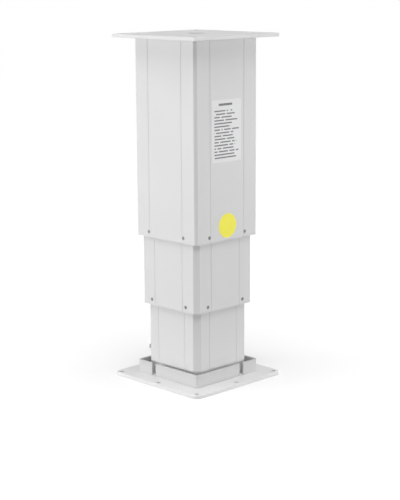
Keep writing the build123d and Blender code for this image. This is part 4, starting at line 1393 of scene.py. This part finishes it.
@dataclass
class Softbox:
    """A square studio light that faces the column.

    Attributes:
        name: The light's name.
        bearing: Its direction from the column, in degrees anticlockwise from +X.
        distance: How far off it stands, in metres.
        height: The height of its middle.
        side: The length of its sides.
        watts: Its power.
        aim: The height on the column's axis that it faces.
    """

    name: str
    bearing: float
    distance: float
    height: float
    side: float
    watts: float
    aim: float = 0.3

    def build(self) -> bpy.types.Object:
        """Makes the light, unseen by the camera, turned to the middle of the column.

        Returns:
            The light.
        """
        lamp = bpy.data.lights.new(self.name, "AREA")
        lamp.shape = "SQUARE"
        lamp.size = self.side
        lamp.energy = self.watts
        light = bpy.data.objects.new(self.name, lamp)
        bpy.context.scene.collection.objects.link(light)
        angle = math.radians(self.bearing)
        place = Vector((self.distance * math.cos(angle), self.distance * math.sin(angle), self.height))
        way = Vector((0.0, 0.0, self.aim)) - place
        light.matrix_world = Matrix.Translation(place) @ way.to_track_quat("-Z", "Y").to_matrix().to_4x4()
        light.visible_camera = False
        return light


@dataclass
class Studio:
    """A pale floor in a ring of even soft light, with a broad light above and a softbox at either side.

    Attributes:
        floor_half: Half the floor's width, in metres.
        floor_level: The floor's height: just under the base plate.
        floor_cells: How many cells the floor has along a side.
        ring: The strength of the ring of light that stands round the column.
        ring_rise: How far the ring reaches over and under the horizon, as the sine of that angle.
        overhead: The strength of the broad light from above.
        overhead_degrees: How wide it is.
        overhead_way: The direction in which it shines.
        softboxes: The two softboxes.
    """

    floor_half: float = 60.0
    floor_level: float = -0.0002
    floor_cells: int = 8
    ring: float = 2.65
    ring_rise: float = 0.15
    overhead: float = 3.05
    overhead_degrees: float = 80.0
    overhead_way: Triple = (0.147, 0.147, -0.978)
    softboxes: tuple[Softbox, Softbox] = (
        Softbox("left_softbox", bearing=145.0, distance=3.0, height=0.3, side=1.0, watts=34.0),
        Softbox("right_softbox", bearing=330.0, distance=3.0, height=0.3, side=1.0, watts=27.0),
    )

    def build(self) -> None:
        """Makes the floor, the surroundings and the lights."""
        bpy.context.scene.view_settings.view_transform = "Standard"
        self.make_floor()
        self.make_sky()
        sun = bpy.data.lights.new("overhead_light", "SUN")
        sun.energy = self.overhead
        sun.angle = math.radians(self.overhead_degrees)
        light = bpy.data.objects.new("overhead_light", sun)
        light.matrix_world = Vector(self.overhead_way).to_track_quat("-Z", "Y").to_matrix().to_4x4()
        bpy.context.scene.collection.objects.link(light)
        for softbox in self.softboxes:
            softbox.build()

    def make_floor(self) -> bpy.types.Object:
        """Makes the floor: a level square grid just under the base plate.

        It is seen, but sends no light back and keeps none off. The ring lights the column in its place.

        Returns:
            The floor.
        """
        cells, ticks = self.floor_cells, self.floor_cells + 1
        line = np.linspace(-self.floor_half, self.floor_half, ticks)
        across, along = np.meshgrid(line, line)
        points = np.stack([across, along, np.full_like(across, self.floor_level)], axis=-1).reshape(-1, 3)
        start = (np.arange(cells)[:, None] * ticks + np.arange(cells)[None, :]).reshape(-1, 1)
        mesh = bpy.data.meshes.new("studio_floor")
        mesh.from_pydata(points.tolist(), [], (start + np.array([0, 1, ticks + 1, ticks])).tolist())
        mesh.materials.append(FLOOR_PAINT.build())
        floor = bpy.data.objects.new("studio_floor", mesh)
        bpy.context.scene.collection.objects.link(floor)
        floor.visible_diffuse = False
        floor.visible_shadow = False
        return floor

    def make_sky(self) -> bpy.types.World:
        """Makes the surroundings: plain white to look at, with a ring of light along the horizon.

        Returns:
            The world.
        """
        world = bpy.data.worlds.new("white_studio")
        world.use_nodes = True
        tree = world.node_tree
        tree.nodes.clear()
        white = (1.0, 1.0, 1.0, 1.0)
        seen = add_node(tree, "ShaderNodeBackground", values={"Color": white, "Strength": 1.0})
        way = add_node(tree, "ShaderNodeTexCoord").outputs["Generated"]
        rise = add_node(tree, "ShaderNodeSeparateXYZ", links={0: way}).outputs["Z"]
        ring = add_node(
            tree, "ShaderNodeMath", operation="COMPARE", links={0: rise}, values={1: 0.0, 2: self.ring_rise}
        )
        power = add_node(
            tree, "ShaderNodeMath", operation="MULTIPLY", links={0: ring.outputs[0]}, values={1: self.ring}
        )
        lit = add_node(
            tree, "ShaderNodeBackground", links={"Strength": power.outputs[0]}, values={"Color": white}
        )
        path = add_node(tree, "ShaderNodeLightPath")
        mix = add_node(
            tree,
            "ShaderNodeMixShader",
            links={0: path.outputs["Is Camera Ray"], 1: lit.outputs[0], 2: seen.outputs[0]},
        )
        add_node(tree, "ShaderNodeOutputWorld", links={"Surface": mix.outputs[0]})
        bpy.context.scene.world = world
        return world


def main() -> None:
    """Builds the camera, the studio and the column's looks."""
    logging.basicConfig(level=logging.INFO, format="%(name)s: %(message)s")
    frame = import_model()
    PhotoCamera().build()
    Studio().build()
    dress(frame["nodes"])
    Fasteners().build()
    SpindleSet().build()
    PowerInlet().build()
    for sticker in STICKERS:
        sticker.build()


if __name__ == "__main__":
    main()
